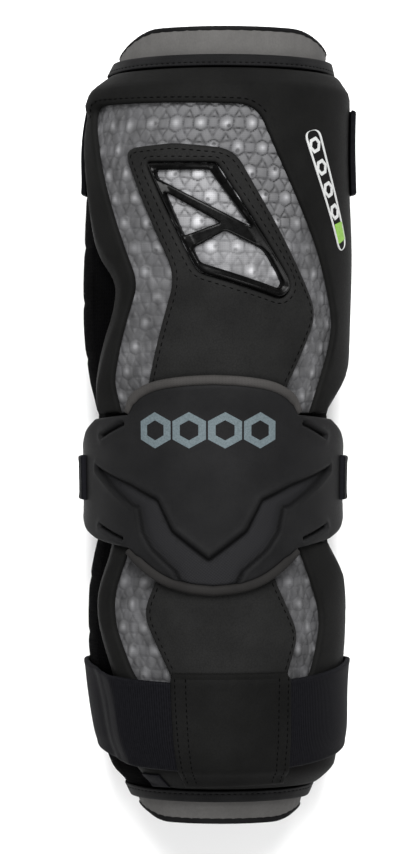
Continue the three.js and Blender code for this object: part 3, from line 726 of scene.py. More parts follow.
LEATHER = leather(shade(0.0075, 0.0075, 0.0074), shade(0.0108, 0.0108, 0.0106), 1.5, 0.07, (0.52, 0.64))
# A darker copy of the leather with painted shade, standing in for the shade at the pad's sides; the guards'
# shells and the keeper patch wear it
SHADED_LEATHER_FILL = leather(shade(0.0042, 0.0042, 0.0041), shade(0.0064, 0.0064, 0.0062), 1.5, 0.07, (0.56, 0.68))
CAP_SHADES = (shade(0.0072, 0.0072, 0.0075), shade(0.0102, 0.0102, 0.0105))
COVER = material("Synthetic leather", LEATHER, 0.58, 0.02)
# The darker copy with painted shade, for the guards' shells and the keeper patch
SHADED_SHELL_LEATHER = material("Darker leather", SHADED_LEATHER_FILL, 0.6, 0.015)
# The cap's leather gets painted shade along its channel's edge
CAP_PLASTIC = material("Moulded cap", leather(*CAP_SHADES, 2.6, 0.03, (0.48, 0.58), True), 0.5, 0.02)


def channel_fill(net):
    surface = net.coordinates("UV", (100, 100, 1), math.radians(38))
    checks = {"Vector": surface, "Scale": 1.0, "Randomness": 0.0}
    check = net.add("ShaderNodeTexVoronoi", checks, feature="DISTANCE_TO_EDGE", voronoi_dimensions="2D")
    line = net.between(check.outputs["Distance"], 0.02, 0.12)
    colour = net.blend(line, shade(0.0075, 0.0075, 0.008), shade(0.0118, 0.0118, 0.0127))
    # Painted shade along the channel's edge, as on the cap round it
    return crease_shaded(net, colour, 0.85), None, net.bump(line, 0.12, 0.6)


def frame_fill(net):
    wear = net.noise(420.0, 4.0)
    colour = net.blend(net.between(wear, 0.35, 0.7), shade(0.001), shade(0.0022))
    return colour, net.between(wear, 0.3, 0.75, 0.24, 0.34), net.bump(wear, 0.01, 0.2)


def woven(net, across, along, share):
    """Ribs that follow the piece's own UV."""
    values = {"Ribs Across": across, "Ribs Along": along, "Rib Share": share}
    return net.group(RIBS, {"Surface": net.coordinates("UV"), **values})


def liner_fill(net):
    ribs = woven(net, 95.0, 30.0, 0.8)
    fuzz = net.noise(900.0, 3.0)
    cloud = net.noise(45.0, 3.0)
    colour = net.blend(net.between(cloud, 0.3, 0.7), shade(0.056, 0.0545, 0.053), shade(0.072, 0.07, 0.068))
    colour = net.blend(net.between(fuzz, 0.3, 0.75, 0.25, 0.0), colour, shade(0.034, 0.0335, 0.0325))
    height = net.math("ADD", ribs["Height"], net.product(fuzz, 0.7))
    return colour, None, net.bump(height, 0.1, 0.5)


def mesh_fill(net):
    knit = net.group(MESH, {"Surface": net.coordinates("UV"), "Holes": (48.0, 62.0, 1.0)})
    colour = net.blend(knit["Thread"], shade(0.0002), shade(0.0009, 0.0009, 0.001))
    lighter = net.between(knit["Variation"], 0.35, 0.7, 0.0, 0.35)
    colour = net.blend(lighter, colour, shade(0.0016, 0.0016, 0.0018))
    return colour, None, net.bump(knit["Thread"], 0.25, 0.6)


def strap_fill(net):
    ribs = woven(net, 90.0, 130.0, 0.75)
    colour = net.blend(ribs["Height"], shade(0.0012, 0.0012, 0.0016), shade(0.004, 0.004, 0.0052))
    lighter = net.between(ribs["Variation"], 0.4, 0.7, 0.0, 0.3)
    colour = net.blend(lighter, colour, shade(0.0065, 0.0065, 0.008))
    return colour, None, net.bump(ribs["Height"], 0.16, 0.7)


def binding_fill(dark, light):
    def fill(net):
        ribs = woven(net, 75.0, 100.0, 0.35)
        colour = net.blend(net.between(net.noise(70.0, 3.0), 0.3, 0.7), dark, light)
        colour = net.blend(net.between(ribs["Height"], 0.0, 0.6, 0.35, 0.0), colour, shade(0.01))
        return colour, None, net.bump(ribs["Height"], 0.1, 0.6)
    return fill


def foam_fill(net):
    knit = net.group(MESH, {"Surface": net.coordinates("UV"), "Holes": (130.0, 105.0, 1.0)})
    ramp = net.add("ShaderNodeValToRGB", {"Fac": net.attribute("cell")})
    stops = [(0.0, 0.02), (0.25, 0.05), (0.5, 0.1), (0.75, 0.185), (1.0, 0.34)]
    while len(ramp.color_ramp.elements) < len(stops):
        ramp.color_ramp.elements.new(0.5)
    for element, (at, value) in zip(ramp.color_ramp.elements, stops):
        element.position = at
        element.color = shade(value, value, value * 1.03)
    blurred = net.between(knit["Variation"], 0.4, 0.65, 0.0, 0.3)
    colour = net.blend(blurred, ramp.outputs[0], shade(0.085, 0.085, 0.09))
    colour = net.blend(net.between(knit["Thread"], 0.0, 1.0, 0.25, 0.0), colour, shade(0.04, 0.04, 0.042))
    return colour, None, net.bump(knit["Thread"], 0.05, 0.4)


def thread_fill(net):
    twists = {"Vector": net.coordinates(), "Scale": 900.0, "Distortion": 2.0}
    twist = net.add("ShaderNodeTexWave", twists).outputs[0]
    return net.blend(twist, shade(0.0004), shade(0.0016)), None, net.bump(twist, 0.05, 0.4)


def print_fill(dark, light):
    def fill(net):
        speck = net.noise(1500.0, 3.0)
        colour = net.blend(net.between(speck, 0.35, 0.65), dark, light)
        return colour, net.between(speck, 0.3, 0.7, 0.45, 0.6), net.bump(speck, 0.02, 0.3)
    return fill


GREY = binding_fill(shade(0.026, 0.0247, 0.0238), shade(0.036, 0.0343, 0.0332))
SHADED_GREY = binding_fill(shade(0.0105, 0.01, 0.0097), shade(0.015, 0.0143, 0.0138))
BLACK = binding_fill(shade(0.002, 0.002, 0.0022), shade(0.0045, 0.0045, 0.0048))
SLATE = print_fill(shade(0.055, 0.07, 0.076), shade(0.078, 0.098, 0.106))
WHITE = print_fill(shade(0.3, 0.305, 0.3), shade(0.38, 0.385, 0.38))
GREEN = print_fill(shade(0.1, 0.22, 0.02), shade(0.17, 0.31, 0.05))
CAP_CHANNEL = material("Textured channel", channel_fill, 0.55, 0.02)
FRAME = material("Glossy frame", frame_fill, 0.3, 0.07)
LINER = material("Brushed liner", liner_fill, 0.9, 0.06, sheen=0.03)
SPACER = material("Spacer mesh", mesh_fill, 0.9, 0.006)
ELASTIC = material("Ribbed elastic", strap_fill, 0.75, 0.03)
GREY_BINDING = material("Grey binding", GREY, 0.75, 0.03)
SHADED_BINDING = material("Shaded binding", SHADED_GREY, 0.75, 0.03)
BLACK_BINDING = material("Black binding", BLACK, 0.7, 0.05)
CELL_FOAM = material("Cell foam", foam_fill, 0.6, 0.08)
THREAD = material("Black thread", thread_fill, 0.8, 0.01)
SLATE_PRINT = material("Slate print", SLATE, 0.55, 0.1)
WHITE_PRINT = material("White print", WHITE, 0.55, 0.1)
GREEN_PRINT = material("Green print", GREEN, 0.55, 0.1)


# Stitches along seams, by one tree of geometry nodes

def stitches_inside(net, entry):
    curve = net.add("GeometryNodeMeshToCurve", {"Mesh": entry["Geometry"]})
    evenly = net.add("GeometryNodeResampleCurve", {"Curve": curve, "Length": entry["Pitch"]}, mode="LENGTH")
    bead = net.add("GeometryNodeMeshUVSphere", {"Segments": 6, "Rings": 4, "Radius": 0.5})
    ahead = net.add("GeometryNodeInputTangent")
    facing = net.add("FunctionNodeAlignRotationToVector", {"Vector": ahead}, axis="X")
    width = entry["Thread Width"]
    size = net.add("ShaderNodeCombineXYZ", {"X": entry["Stitch Length"], "Y": width, "Z": width})
    laid = {"Points": evenly, "Instance": bead.outputs["Mesh"], "Rotation": facing, "Scale": size}
    placed = net.add("GeometryNodeInstanceOnPoints", laid)
    whole = net.add("GeometryNodeRealizeInstances", {"Geometry": placed})
    return [net.add("GeometryNodeSetMaterial", {"Geometry": whole, "Material": entry["Thread"]})]


STITCHES = node_group(
    "Stitches along a seam", "GeometryNodeTree",
    [("Geometry", "Geometry", None), ("Pitch", "Float", STITCH_PITCH * MM),
     ("Stitch Length", "Float", STITCH_LENGTH * MM), ("Thread Width", "Float", STITCH_WIDTH * MM),
     ("Thread", "Material", None)],
    [("Geometry", "Geometry")],
    stitches_inside,
)


def stitches(name, lines, height, pitch=STITCH_PITCH, length=STITCH_LENGTH):
    """Rows of stitches in the leather along lines of places, at a height over the sleeve."""
    points = []
    edges = []
    for line in lines:
        fine = resampled(np.asarray(line, float), 1.5)
        u, v = fine[:, 0], fine[:, 1]
        start = len(points)
        points.extend(on_sleeve(u, v, height(u, v)))
        edges += [(start + i, start + i + 1) for i in range(len(fine) - 1)]
    mesh = bpy.data.meshes.new(name)
    mesh.from_pydata([tuple(p) for p in points], edges, [])
    piece = add_object(name, mesh)
    modifier = piece.modifiers.new("stitches", "NODES")
    modifier.node_group = STITCHES
    given = {"Pitch": pitch * MM, "Stitch Length": length * MM, "Thread Width": STITCH_WIDTH * MM,
             "Thread": THREAD}
    for item in STITCHES.interface.items_tree:
        if item.item_type == "SOCKET" and item.in_out == "INPUT" and item.name in given:
            modifier[item.identifier] = given[item.name]
    evaluated = piece.evaluated_get(bpy.context.evaluated_depsgraph_get())
    plain = bpy.data.meshes.new_from_object(evaluated)
    piece.modifiers.clear()
    piece.data = plain
    plain.name = name
    plain.shade_smooth()
    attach(piece, "root")


# Sleeve, liner and their edges

SEAMS = (-150, -108, 108, 150)  # degrees round from the front
QUILT_ROWS = (-150, 165, 26.0)  # from, to and step along the pad


def sleeve_top(u, v):
    around = np.degrees(u / AROUND_RADIUS)
    end = np.minimum(SLEEVE_TOP - v, v - SLEEVE_BOTTOM)
    soft = 0.7 * ripple(u, v, 26.0) + 0.35 * ripple(u, v, 9.0, 5.0)
    dent = sum(np.exp(-((around - seam) * AROUND_RADIUS * math.pi / 180 / 1.6) ** 2) for seam in SEAMS)
    quilt = sum(np.exp(-((v - row) / 1.8) ** 2) for row in np.arange(*QUILT_ROWS))
    padded = smoothstep(np.abs(around), 68, 80) * (1 - smoothstep(np.abs(around), 104, 118))
    fade = smoothstep(end, 2, 12)
    high = np.abs(around) > 66
    return -0.25 + fade * np.where(high, soft * 0.5 - 0.9 * dent, -0.3) - fade * padded * 0.6 * quilt


sleeve_us, sleeve_vs = full_turn(AROUND_STEPS), with_edges(SLEEVE_BOTTOM, SLEEVE_TOP, 2.2)
sleeve = shell("sleeve", sleeve_us, sleeve_vs, constant(0), sleeve_top, SPACER, wrap=True)
points = np.array([vertex.co[:] for vertex in sleeve.data.vertices])
grid_u, grid_v = np.meshgrid(sleeve_us, sleeve_vs)
points[len(points) // 2:] = on_liner(grid_u.ravel(), grid_v.ravel(), GAP)
sleeve.data.vertices.foreach_set("co", points.astype(np.float32).ravel())
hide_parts("padded_sleeve")


def cuff_place(u, v):
    """Where a place on the cuffs really lies: they are cut lower at the sides of the arm."""
    around = np.degrees(near_front(u)) / AROUND_RADIUS
    side = smoothstep(np.abs(around), 40, 92) * np.where(around < 0, 1.0, 0.8)
    upper = np.clip((v - SLEEVE_TOP + 1) / (UPPER_END - SLEEVE_TOP + 1), 0, None)
    lower = np.clip((SLEEVE_BOTTOM + 1 - v) / (SLEEVE_BOTTOM + 1 - LOWER_END), 0, None)
    return v + upper * (CUFF_PROUD[0] - 10.5 * side) - lower * (CUFF_PROUD[1] - 6.5 * side)


def on_cuffs(u, v, height):
    return on_liner(u, cuff_place(u, v), height)


def liner_top(u, v):
    end = np.minimum(UPPER_END - v, v - LOWER_END)
    pucker = 0.2 * np.sin(u / AROUND_RADIUS * 46) * np.exp(-((end - 3.5) / 3.0) ** 2)
    return -0.15 + pucker + 0.3 * ripple(u, v, 14.0, 9.0) * smoothstep(end, 1, 6)


liner = shell("liner", full_turn(220), with_edges(LOWER_END + 0.6, UPPER_END - 0.6, 3.0),
              lambda u, v: liner_top(u, v) - LINER_WALL + 0.3, liner_top, LINER,
              surface=on_cuffs, wrap=True)
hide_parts("inner_liner")

def piping_top(u, v, low):
    inward = np.minimum(v - low, low + CUFF_EDGE_WIDTH - v)
    return 0.4 * rounded(inward, 0.9) - 0.1 + 0.12 * np.sin(u * 1.7)


for end, low in CUFF_EDGES:
    rows = np.linspace(low, low + CUFF_EDGE_WIDTH, 7)
    piping = shell(end + "_cuff_edge_piping", full_turn(AROUND_STEPS), rows, constant(-LINER_WALL - 0.25),
                   lambda u, v: piping_top(u, v, low), BLACK_BINDING, surface=on_cuffs,
                   wrap=True)
    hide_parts(end + "_cuff_edge")


def binding_top(u, v, low):
    """A flat bound edge, thinner towards the cuff and at the sides."""
    high = low + BINDING_WIDTH
    outer = (v - low) / (high - low) if high > 0 else (high - v) / (high - low)
    side = 1 - 0.75 * smoothstep(np.abs(np.sin(u / AROUND_RADIUS)), 0.6, 1.0)
    body = 0.6 + (1.9 - 1.1 * outer) * side * rounded(np.minimum(v - low, high - v), 1.4)
    return body + 0.12 * ripple(u, v, 8.0, 3.0) - 0.35 * np.exp(-((outer - 0.3) / 0.09) ** 2) * side


for end, low in SLEEVE_BINDINGS:
    rows = np.linspace(low, low + BINDING_WIDTH, 15)
    roll = shell(end + "_sleeve_binding_roll", full_turn(AROUND_STEPS), rows, constant(0.2),
                 lambda u, v: binding_top(u, v, low), BLACK_BINDING, wrap=True)
    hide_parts(end + "_sleeve_binding")


# Foam with moulded cells

def random_share(i, j):
    """A number from 0 to 1 that differs from cell to cell."""
    value = np.sin(i * 12.9898 + j * 78.233) * 43758.5453
    return value - np.floor(value)


def cells(name, u, v):
    """Height from 0 to 1 and shade from 0 to 1 of the moulded cells at each place."""
    a = CELL_PITCH
    start_u, start_v, row_share = CELL_ROWS[name]
    row = a * row_share
    lit = np.where(inside(window_outline, u, v), 0.14, -0.18) if name == "upper_cells" else -0.27
    around = np.degrees(u / AROUND_RADIUS)
    clear = smoothstep(v, 60, 105) * smoothstep(around, -42, -8) * (1 - smoothstep(around, 30, 46))
    u, v = u - start_u + 0.75 * ripple(u, v, 7.0, 11.0), v - start_v + 0.75 * ripple(u, v, 7.0, 17.0)
    best = {kind: np.full(np.shape(u), 1e9) for kind in ("round", "oval", "corner")}
    dot = np.zeros(np.shape(u))

    def nearer(kind, distance):
        best[kind] = np.minimum(best[kind], distance)

    for dj in (-1, 0, 1, 2):
        j = np.floor(v / row) + dj
        offset = (j % 2) * a / 2
        for di in (-1, 0, 1, 2):
            i = np.floor((u - offset) / a) + di
            cx, cy = i * a + offset, j * row
            nearer("round", np.hypot(u - cx, v - cy) - ROUND_CELL)
            pick = random_share(i, j)
            hole = np.hypot(u - cx - 1.9 * np.cos(pick * 40), v - cy - 1.9 * np.sin(pick * 40))
            dot = np.maximum(dot, np.where(pick > 0.45, 1 - smoothstep(hole, 0.5, 1.15), 0))
            for angle in (0, 60, 120):
                c, s = math.cos(math.radians(angle)), math.sin(math.radians(angle))
                x, y = u - cx - c * a / 2, v - cy - s * row / math.sqrt(3)
                nearer("oval", np.hypot((x * c + y * s) * 1.22, (-x * s + y * c) * 0.84) - OVAL_CELL)
            for side in (1, -1):
                nearer("corner", np.hypot(u - cx - a / 2, v - cy - side * row / 3) - CORNER_CELL)
    distances = np.sort(np.stack(list(best.values())), axis=0)
    groove = distances[1] - distances[0]
    nub = (best["round"] <= best["oval"]) & (best["round"] <= best["corner"])
    corner = (best["corner"] < best["oval"]) & ~nub
    dome = smoothstep(groove, 0.0, 1.3)
    crown = 1 - np.clip((distances[0] + 2.5) / 3.5, 0, 1) * 0.4
    height = dome * crown * np.where(nub, 1.0, np.where(corner, 0.55, 0.7))
    glow = np.exp(-(np.maximum(best["round"] + ROUND_CELL, 0) / 1.9) ** 2)
    cloud = 0.5 + 0.5 * ripple(1.5 * u, 0.6 * v, 3.2, 8.0) + 0.35 * ripple(u, v, 11.0, 2.0)
    line = (1 - smoothstep(groove, 0.1, 0.75)) * (0.25 + 0.75 * clear)
    tone = lit + 0.42 + 0.14 * clear + 0.34 * (cloud - 0.5) * (1.15 - clear) + (0.36 + 0.12 * clear) * glow
    tone = tone - 0.3 * line * (1 - 0.6 * glow) - 0.34 * dot * (0.3 + 0.7 * clear)
    return height * (1 - 0.6 * dot) * (0.4 + 0.6 * clear), np.clip(tone, 0, 1)


def cell_pad(name, edge, shown):
    """Foam under a guard, with fine cells inside the outlines that stay open."""
    outline = beside(edge, RIM + 1.5)
    outline[[0, -1], 1] = edge[[0, -1], 1]
    low, high = outline.min(axis=0), outline.max(axis=0)
    fine = hexagonal_grid(low, high, 0.62)
    coarse = hexagonal_grid(low, high, 4.0)
    near = np.any([inside(ring, *fine.T) | (distance_to(ring, *fine.T) < 1.6) for ring in shown], axis=0)
    far = np.all([~inside(ring, *coarse.T) & (distance_to(ring, *coarse.T) > 3.5) for ring in shown], axis=0)
    grid = np.vstack([fine[near], coarse[far]])

    def top(u, v, d):
        return FOAM_SEAT + 1.75 * cells(name, u, v)[0] * smoothstep(d, 0, 2)

    foam = panel(name, outline, constant(0.15), top, CELL_FOAM, grid=grid, rings=(0.8,),
                 sharp=80)
    _, places = places_of(foam)
    paint(foam, "cell", cells(name, *places.T)[1])
    return foam


def cover_base(edge):
    return lambda u, v: GAP + FOAM_TOP * np.clip(left_of(edge, u, v) / (0.9 * RIM), 0, 1)


def collar(u, v):
    """Extra height of the strip above the cells, most at its left end, with a fold along its upper side."""
    strip = smoothstep(v, 146, 148.5) * (1 - smoothstep(v, 156, 164.5))
    fold = np.exp(-((v - 160.6) / 0.55) ** 2)
    return strip * (0.3 + 1.7 * smoothstep(-u, to_u(38), to_u(66))) - 0.45 * fold


def guard_cover(name, edge, band):
    """The leather shell round a guard, from its edge in to the band of cells."""
    base = cover_base(edge)

    def top(u, v, d):
        soft = 0.22 * ripple(u, v, 30.0, 2.0) + collar(u, v)
        return base(u, v) + 0.5 + (PANEL - 0.5) * rounded(d, 2.0) + soft * smoothstep(d, 0, 3)

    # The shell takes the darker leather, with painted shade for the pad's sides
    cover = panel(name, np.vstack([edge, band]), lambda u, v: base(u, v) - 0.3, top, SHADED_SHELL_LEATHER,
                  step=2.6)
    return cover


def centre_cover(name, outline, holes=()):
    def top(u, v, d):
        rise = (COVER_TOP - FOAM_TOP - 0.9) * rounded(d, 1.9)
        return FOAM_TOP + 0.9 + rise + 0.15 * ripple(u, v, 34.0, 7.0)

    cover = panel(name, outline, constant(FOAM_SEAT), top, COVER, holes=holes, step=2.6)
    return cover


upper_band = path(UPPER_BAND_EDGE, *UPPER_GUARD)
upper_centre = path(UPPER_CENTRE_EDGE, *UPPER_GUARD)
window_outline = loop(WINDOW_EDGE, *UPPER_GUARD)
window_openings = [loop(rows, *UPPER_GUARD) for rows in WINDOW_OPENINGS]
lower_band = path(LOWER_BAND_EDGE, *LOWER_GUARD)
lower_centre = path(LOWER_CENTRE_EDGE, *LOWER_GUARD)


upper_cells = cell_pad("upper_cells", upper_edge, [np.vstack([upper_band, upper_centre]), window_outline])
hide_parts("upper_cell_pad")
lower_cells = cell_pad("lower_cells", lower_edge, [lower_band])
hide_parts("lower_cell_pad")
upper_cover = guard_cover("upper_cover", upper_edge, upper_band)
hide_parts("upper_shell")
lower_cover = guard_cover("lower_cover", lower_edge, lower_band)
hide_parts("lower_shell")
window_seat = beside_loop(window_outline, -SEAM)
upper_middle = centre_cover("upper_middle_cover", upper_centre, holes=[window_seat])
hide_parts("upper_centre_panel")
lower_middle = centre_cover("lower_middle_cover", lower_centre)
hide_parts("lower_centre_panel")


def frame_top(u, v, d):
    rim = distance_to(window_outline, u, v)
    ridge = 0.45 * np.exp(-((rim - 1.3) / 0.5) ** 2)
    slope = 1.1 * smoothstep(rim, 1.8, 4.5)
    return COVER_TOP - 0.7 + 1.3 * rounded(d, 0.8) + ridge - slope


window = panel("moulded_window", window_outline, constant(FOAM_SEAT), frame_top, FRAME,
               holes=window_openings, step=1.2, edge_step=0.8, rings=(0.15, 0.4, 0.8, 1.4, 2.0), sharp=50)
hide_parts("window_frame")


# Elbow cap

cap_top_edge = path([*mirrored(CAP_TOP), *CAP_TOP[1:]], *CAP)
cap_bottom_edge = path([*CAP_BOTTOM, *mirrored(CAP_BOTTOM)[1:]], *CAP)


def binding_width(edge):
    """The width of a rolled binding at each place of its edge, less at both ends."""
    to_end = np.minimum(np.linspace(0, 1, len(edge)), np.linspace(1, 0, len(edge)))
    return CAP_BINDING_WIDTH * np.minimum(1, 0.7 + 5 * to_end)


def seat_of(edge):
    return beside(edge, -binding_width(edge) + 0.4)


cap_outline = np.vstack([seat_of(cap_top_edge), path(CAP_SIDE, *CAP), seat_of(cap_bottom_edge),
                         path(mirrored(CAP_SIDE), *CAP)])
channel_rows = [*CHANNEL_INNER, *mirrored(CHANNEL_INNER)[1:], *mirrored(CHANNEL_OUTER), *CHANNEL_OUTER[1:]]
channel = path(channel_rows, *CAP)
channel[:, 0] -= CHANNEL_SHIFT * (1 - (channel[:, 0] / to_u(CHANNEL_REACH)) ** 2)
slit_lines = [
    np.array([(to_u(side * a), CAP_MIDDLE + along * CAP_LENGTH) for a, along in ends])
    for ends in SLITS for side in (-1, 1)
]


def cap_crown(u, v):
    end = np.clip(2 * (v - CAP_MIDDLE) / CAP_LENGTH, -1, 1)
    facing = np.maximum(np.cos(u / AROUND_RADIUS), 0) ** 2
    crown = CAP_RISE + (CAP_END_RISE - CAP_RISE) * end**2
    return CAP_WING_RISE + (crown - CAP_WING_RISE) * facing


def cap_height(u, v):
    away = np.abs(u)
    tip = 0.33 * CAP_WING_RISE * smoothstep(away, *to_u(WING_TIP))
    return cap_crown(u, v) - tip + 0.9 * smoothstep(away, *to_u(WING_STEP))


def cap_base(u, v):
    return GAP + COVER_TOP * (1 - smoothstep(np.abs(u), *to_u(COVERS_END)))


def channel_depth(u, v):
    """Distance in from the channel's edge, negative outside it."""
    away = distance_to(channel, u, v)
    return np.where(inside(channel, u, v), away, -away)


def cap_surface(u, v):
    signed = channel_depth(u, v)
    sunk = 2.3 * smoothstep(signed, -0.5, 1.9) - 0.4 * smoothstep(signed, 1.9, 4.0)
    lip = 0.45 * np.exp(-((signed + 1.5) / 0.9) ** 2)
    cuts = 0
    for line in slit_lines:
        away = np.abs(left_of(line, u, v))
        cuts = cuts + 2.4 * (1 - smoothstep(away, 0.45, 1.15))
        cuts = cuts + 0.9 * (1 - smoothstep(np.hypot(u - line[0][0], v - line[0][1]), 0.5, 1.6))
        cuts = cuts - 0.5 * np.exp(-((away - 2.2) / 1.2) ** 2)
    return cap_height(u, v) - sunk + lip - cuts


def cap_top(u, v, d):
    return cap_surface(u, v) - 1.3 * (1 - rounded(d, 2.2))


def cap_grid():
    """Places for the cap's mesh, closer together near the channel and the slits."""
    low, high = cap_outline.min(axis=0), cap_outline.max(axis=0)

    def gaps(points):
        return [distance_to(channel, *points.T), *(np.abs(left_of(line, *points.T)) for line in slit_lines)]

    fine, coarse = hexagonal_grid(low, high, 0.75), hexagonal_grid(low, high, 2.0)
    near = np.any([gap < limit for gap, limit in zip(gaps(fine), (2.6, *[2.8] * 4))], axis=0)
    far = np.all([gap > limit for gap, limit in zip(gaps(coarse), (3.2, *[3.4] * 4))], axis=0)
    return np.vstack([fine[near], coarse[far]])


cap = panel("elbow_cap_shell", cap_outline, cap_base, cap_top, CAP_PLASTIC,
            grid=cap_grid(), rings=(0.3, 0.8, 1.5, 2.4), sharp=60)
cap.data.materials.append(CAP_CHANNEL)
corners, places = places_of(cap)
for polygon in cap.data.polygons:
    centre = corners[polygon.loop_start:polygon.loop_start + polygon.loop_total].mean(axis=0)
    if polygon.loop_total == 3 and polygon.normal.z > 0.2 and abs(centre[0]) < to_u(CHANNEL_REACH):
        if inside(channel, centre[0:1], centre[1:2])[0]:
            polygon.material_index = 1
# The attribute crease holds painted shade, strongest just inside the channel's edge, where its slopes are
# shaded
paint(cap, "crease", np.exp(-((channel_depth(*places.T) - 0.8) / 1.2) ** 2))
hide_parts("elbow_cap")


def cap_binding(name, node, edge, cloth):
    outline = np.vstack([edge, beside(edge, -binding_width(edge))[::-1]])

    def top(u, v, d):
        return cap_height(u, v) - 1.6 + 2.2 * rounded(d, 2.1)

    bound = panel(name, outline, cap_base, top, cloth, step=1.4,
                  rings=(0.3, 0.8, 1.4), sharp=60)
    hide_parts(node)


cap_binding("cap_top_roll", "cap_top_binding", cap_top_edge, GREY_BINDING)
cap_binding("cap_bottom_roll", "cap_bottom_binding", cap_bottom_edge, SHADED_BINDING)


# Straps

def strap_base(u, v):
    flat_u = near_front(u)
    depth = np.where(v > CAP_MIDDLE, left_of(upper_edge, flat_u, v), left_of(lower_edge, flat_u, v))
    foam = CELL_PAD * np.clip((depth + 4) / RIM, 0, 1)
    return GAP + foam + (COVER_TOP + GAP - CELL_PAD) * smoothstep(depth, -RIM - 8, -3)


def strap(name, node, us, place, base, wrap=False, dip=no_dip):
    low, width = place
    high = low + width

    def top(u, v):
        flat_v = v + dip(u)
        edge = np.minimum(flat_v - low, high - flat_v)
        if not wrap:
            edge = np.minimum(edge, np.minimum(u - us[0], us[-1] - u))
        cord = 0.25 * np.exp(-((edge - 1.3) / 0.7) ** 2)
        return base(u, v) + 0.7 + (STRAP - 0.7) * rounded(edge, 0.9) + cord + 0.2 * ripple(u, v, 22.0, 4.0)

    rows = with_edges(low, high, 2.0)
    made = shell(name, us, rows, base, top, ELASTIC, wrap=wrap, dip=dip)
    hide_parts(node)


def round_the_back(start):
    return with_edges(to_u(start), to_u(360 - start), 1.9)


def elbow_strap_base(u, v):
    away = np.abs(near_front(u))
    on_wing = cap_height(np.minimum(away, to_u(WING_TIP[1])), v) + 0.15
    return GAP + (on_wing - GAP) * (1 - smoothstep(away, to_u(91), to_u(112)))


strap("upper_elastic", "upper_strap", round_the_back(84), UPPER_STRAP, strap_base)
strap("elbow_elastic", "elbow_strap", round_the_back(72), ELBOW_STRAP, elbow_strap_base)
strap("lower_elastic", "lower_strap", full_turn(210), LOWER_STRAP, strap_base, wrap=True,
      dip=lambda u: 8 * (np.maximum(np.cos(u / AROUND_RADIUS), 0) - 1))


keeper_low, keeper_high = KEEPER[0], sum(KEEPER)
keeper_left, keeper_right = (to_u(side) for side in KEEPER_SIDES)


def keeper_base(u, v):
    over_strap = smoothstep(v, keeper_low + 4, keeper_low + 9) * smoothstep(keeper_high - v, 0.6, 3.4)
    return COVER_TOP + 0.2 + (STRAP + 1.1) * over_strap


def keeper_top(u, v, d):
    fold = sum(np.exp(-((u - to_u(at)) / 0.8) ** 2) for at in KEEPER_FOLDS)
    return keeper_base(u, v) + 0.5 + 1.0 * rounded(d, 1.2) - 0.35 * fold + 0.15 * ripple(u, v, 20.0, 6.0)


keeper_outline = np.array([(keeper_left, keeper_low), (keeper_right, keeper_low + 1.5),
                           (keeper_right - 1.5, keeper_high), (keeper_left + 0.5, keeper_high)])
# The keeper patch also takes the darker leather with painted shade
keeper = panel("keeper_patch", keeper_outline, keeper_base, keeper_top, SHADED_SHELL_LEATHER,
               step=2.0)
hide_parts("strap_keeper")

tab_low = LOWER_GUARD[0] + SEAM
tab_high = tab_low + PULL_TAB_LENGTH
tab_left, tab_right = (to_u(side) for side in PULL_TAB_SIDES)
tab_outline = np.array([(tab_left, tab_low), (tab_right, tab_low), (tab_right, tab_high),
                        (tab_left, tab_high)])


def tab_base(u, v):
    return cover_base(lower_edge)(u, v) + PANEL + 0.2


pull_tab = panel("small_pull_tab", tab_outline, tab_base,
                 lambda u, v, d: tab_base(u, v) + 0.5 + 0.9 * rounded(d, 0.9), ELASTIC,
                 step=1.5)
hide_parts("pull_tab")


# Stitches

COVER_LINE = constant(COVER_TOP - 0.02)
closed_window = np.vstack([window_outline, window_outline[:1]])
stitches("upper_middle_stitches", [beside(resampled(upper_centre, 2.0), 2.6)[3:-3]], COVER_LINE)
stitches("window_stitches", [beside(resampled(closed_window, 2.0), -3.0)], COVER_LINE)
stitches("lower_middle_stitches", [beside(resampled(lower_centre[2:], 2.0), 2.6)[:-2]], COVER_LINE)
band_line = beside(resampled(upper_band, 2.0), 2.4)
over_cells = band_line[(band_line[:, 1] > 143) & (band_line[:, 0] < to_u(20))]
stitches("collar_stitches", [over_cells], lambda u, v: COVER_LINE(u, v) + collar(u, v))
for end, low in SLEEVE_BINDINGS:
    seam = low + BINDING_WIDTH * (0.3 if low > 0 else 0.7)
    stitches(end + "_binding_stitches", [[(to_u(t), seam) for t in range(-80, 81, 2)]],
             lambda u, v: binding_top(u, v, low), pitch=2.8, length=1.8)
stitches("keeper_stitches",
         [[(to_u(at), keeper_low + 3), (to_u(at), keeper_high - 3)] for at in KEEPER_SEAMS],
         lambda u, v: keeper_top(u, v, 9 + 0 * u) - 0.02, pitch=2.8, length=1.9)


# Plain hexagons in the two printed places

def hexagon(centre, size, turn):
    angles = [math.radians(60 * k + turn) for k in range(6)]
    return np.array([(centre[0] + size * math.cos(a), centre[1] + size * math.sin(a)) for a in angles])


def printed(name, outline, low, high, cloth, holes=(), ring=0.3):
    panel(name, outline, low, high, cloth, holes=holes, step=1.5, rings=(ring,))


CAP_HEXAGONS = (-23.6, 14.1, -2.0)  # degrees to the first, degrees between two, place along the pad
CAP_SIZES = (8.3, 4.6)  # of a hexagon and of the one left out of it
LABEL_SIZES = (4.0, 2.3)

for k in range(4):
    middle = (to_u(CAP_HEXAGONS[0] + CAP_HEXAGONS[1] * k), CAP_HEXAGONS[2])
    outer, hole = (hexagon(middle, size, 30) for size in CAP_SIZES)
    printed(f"cap_hexagon_{k + 1}", outer, lambda u, v: cap_surface(u, v) - 0.3,
            lambda u, v, d: cap_surface(u, v) + 0.12, SLATE_PRINT, [hole], 0.4)


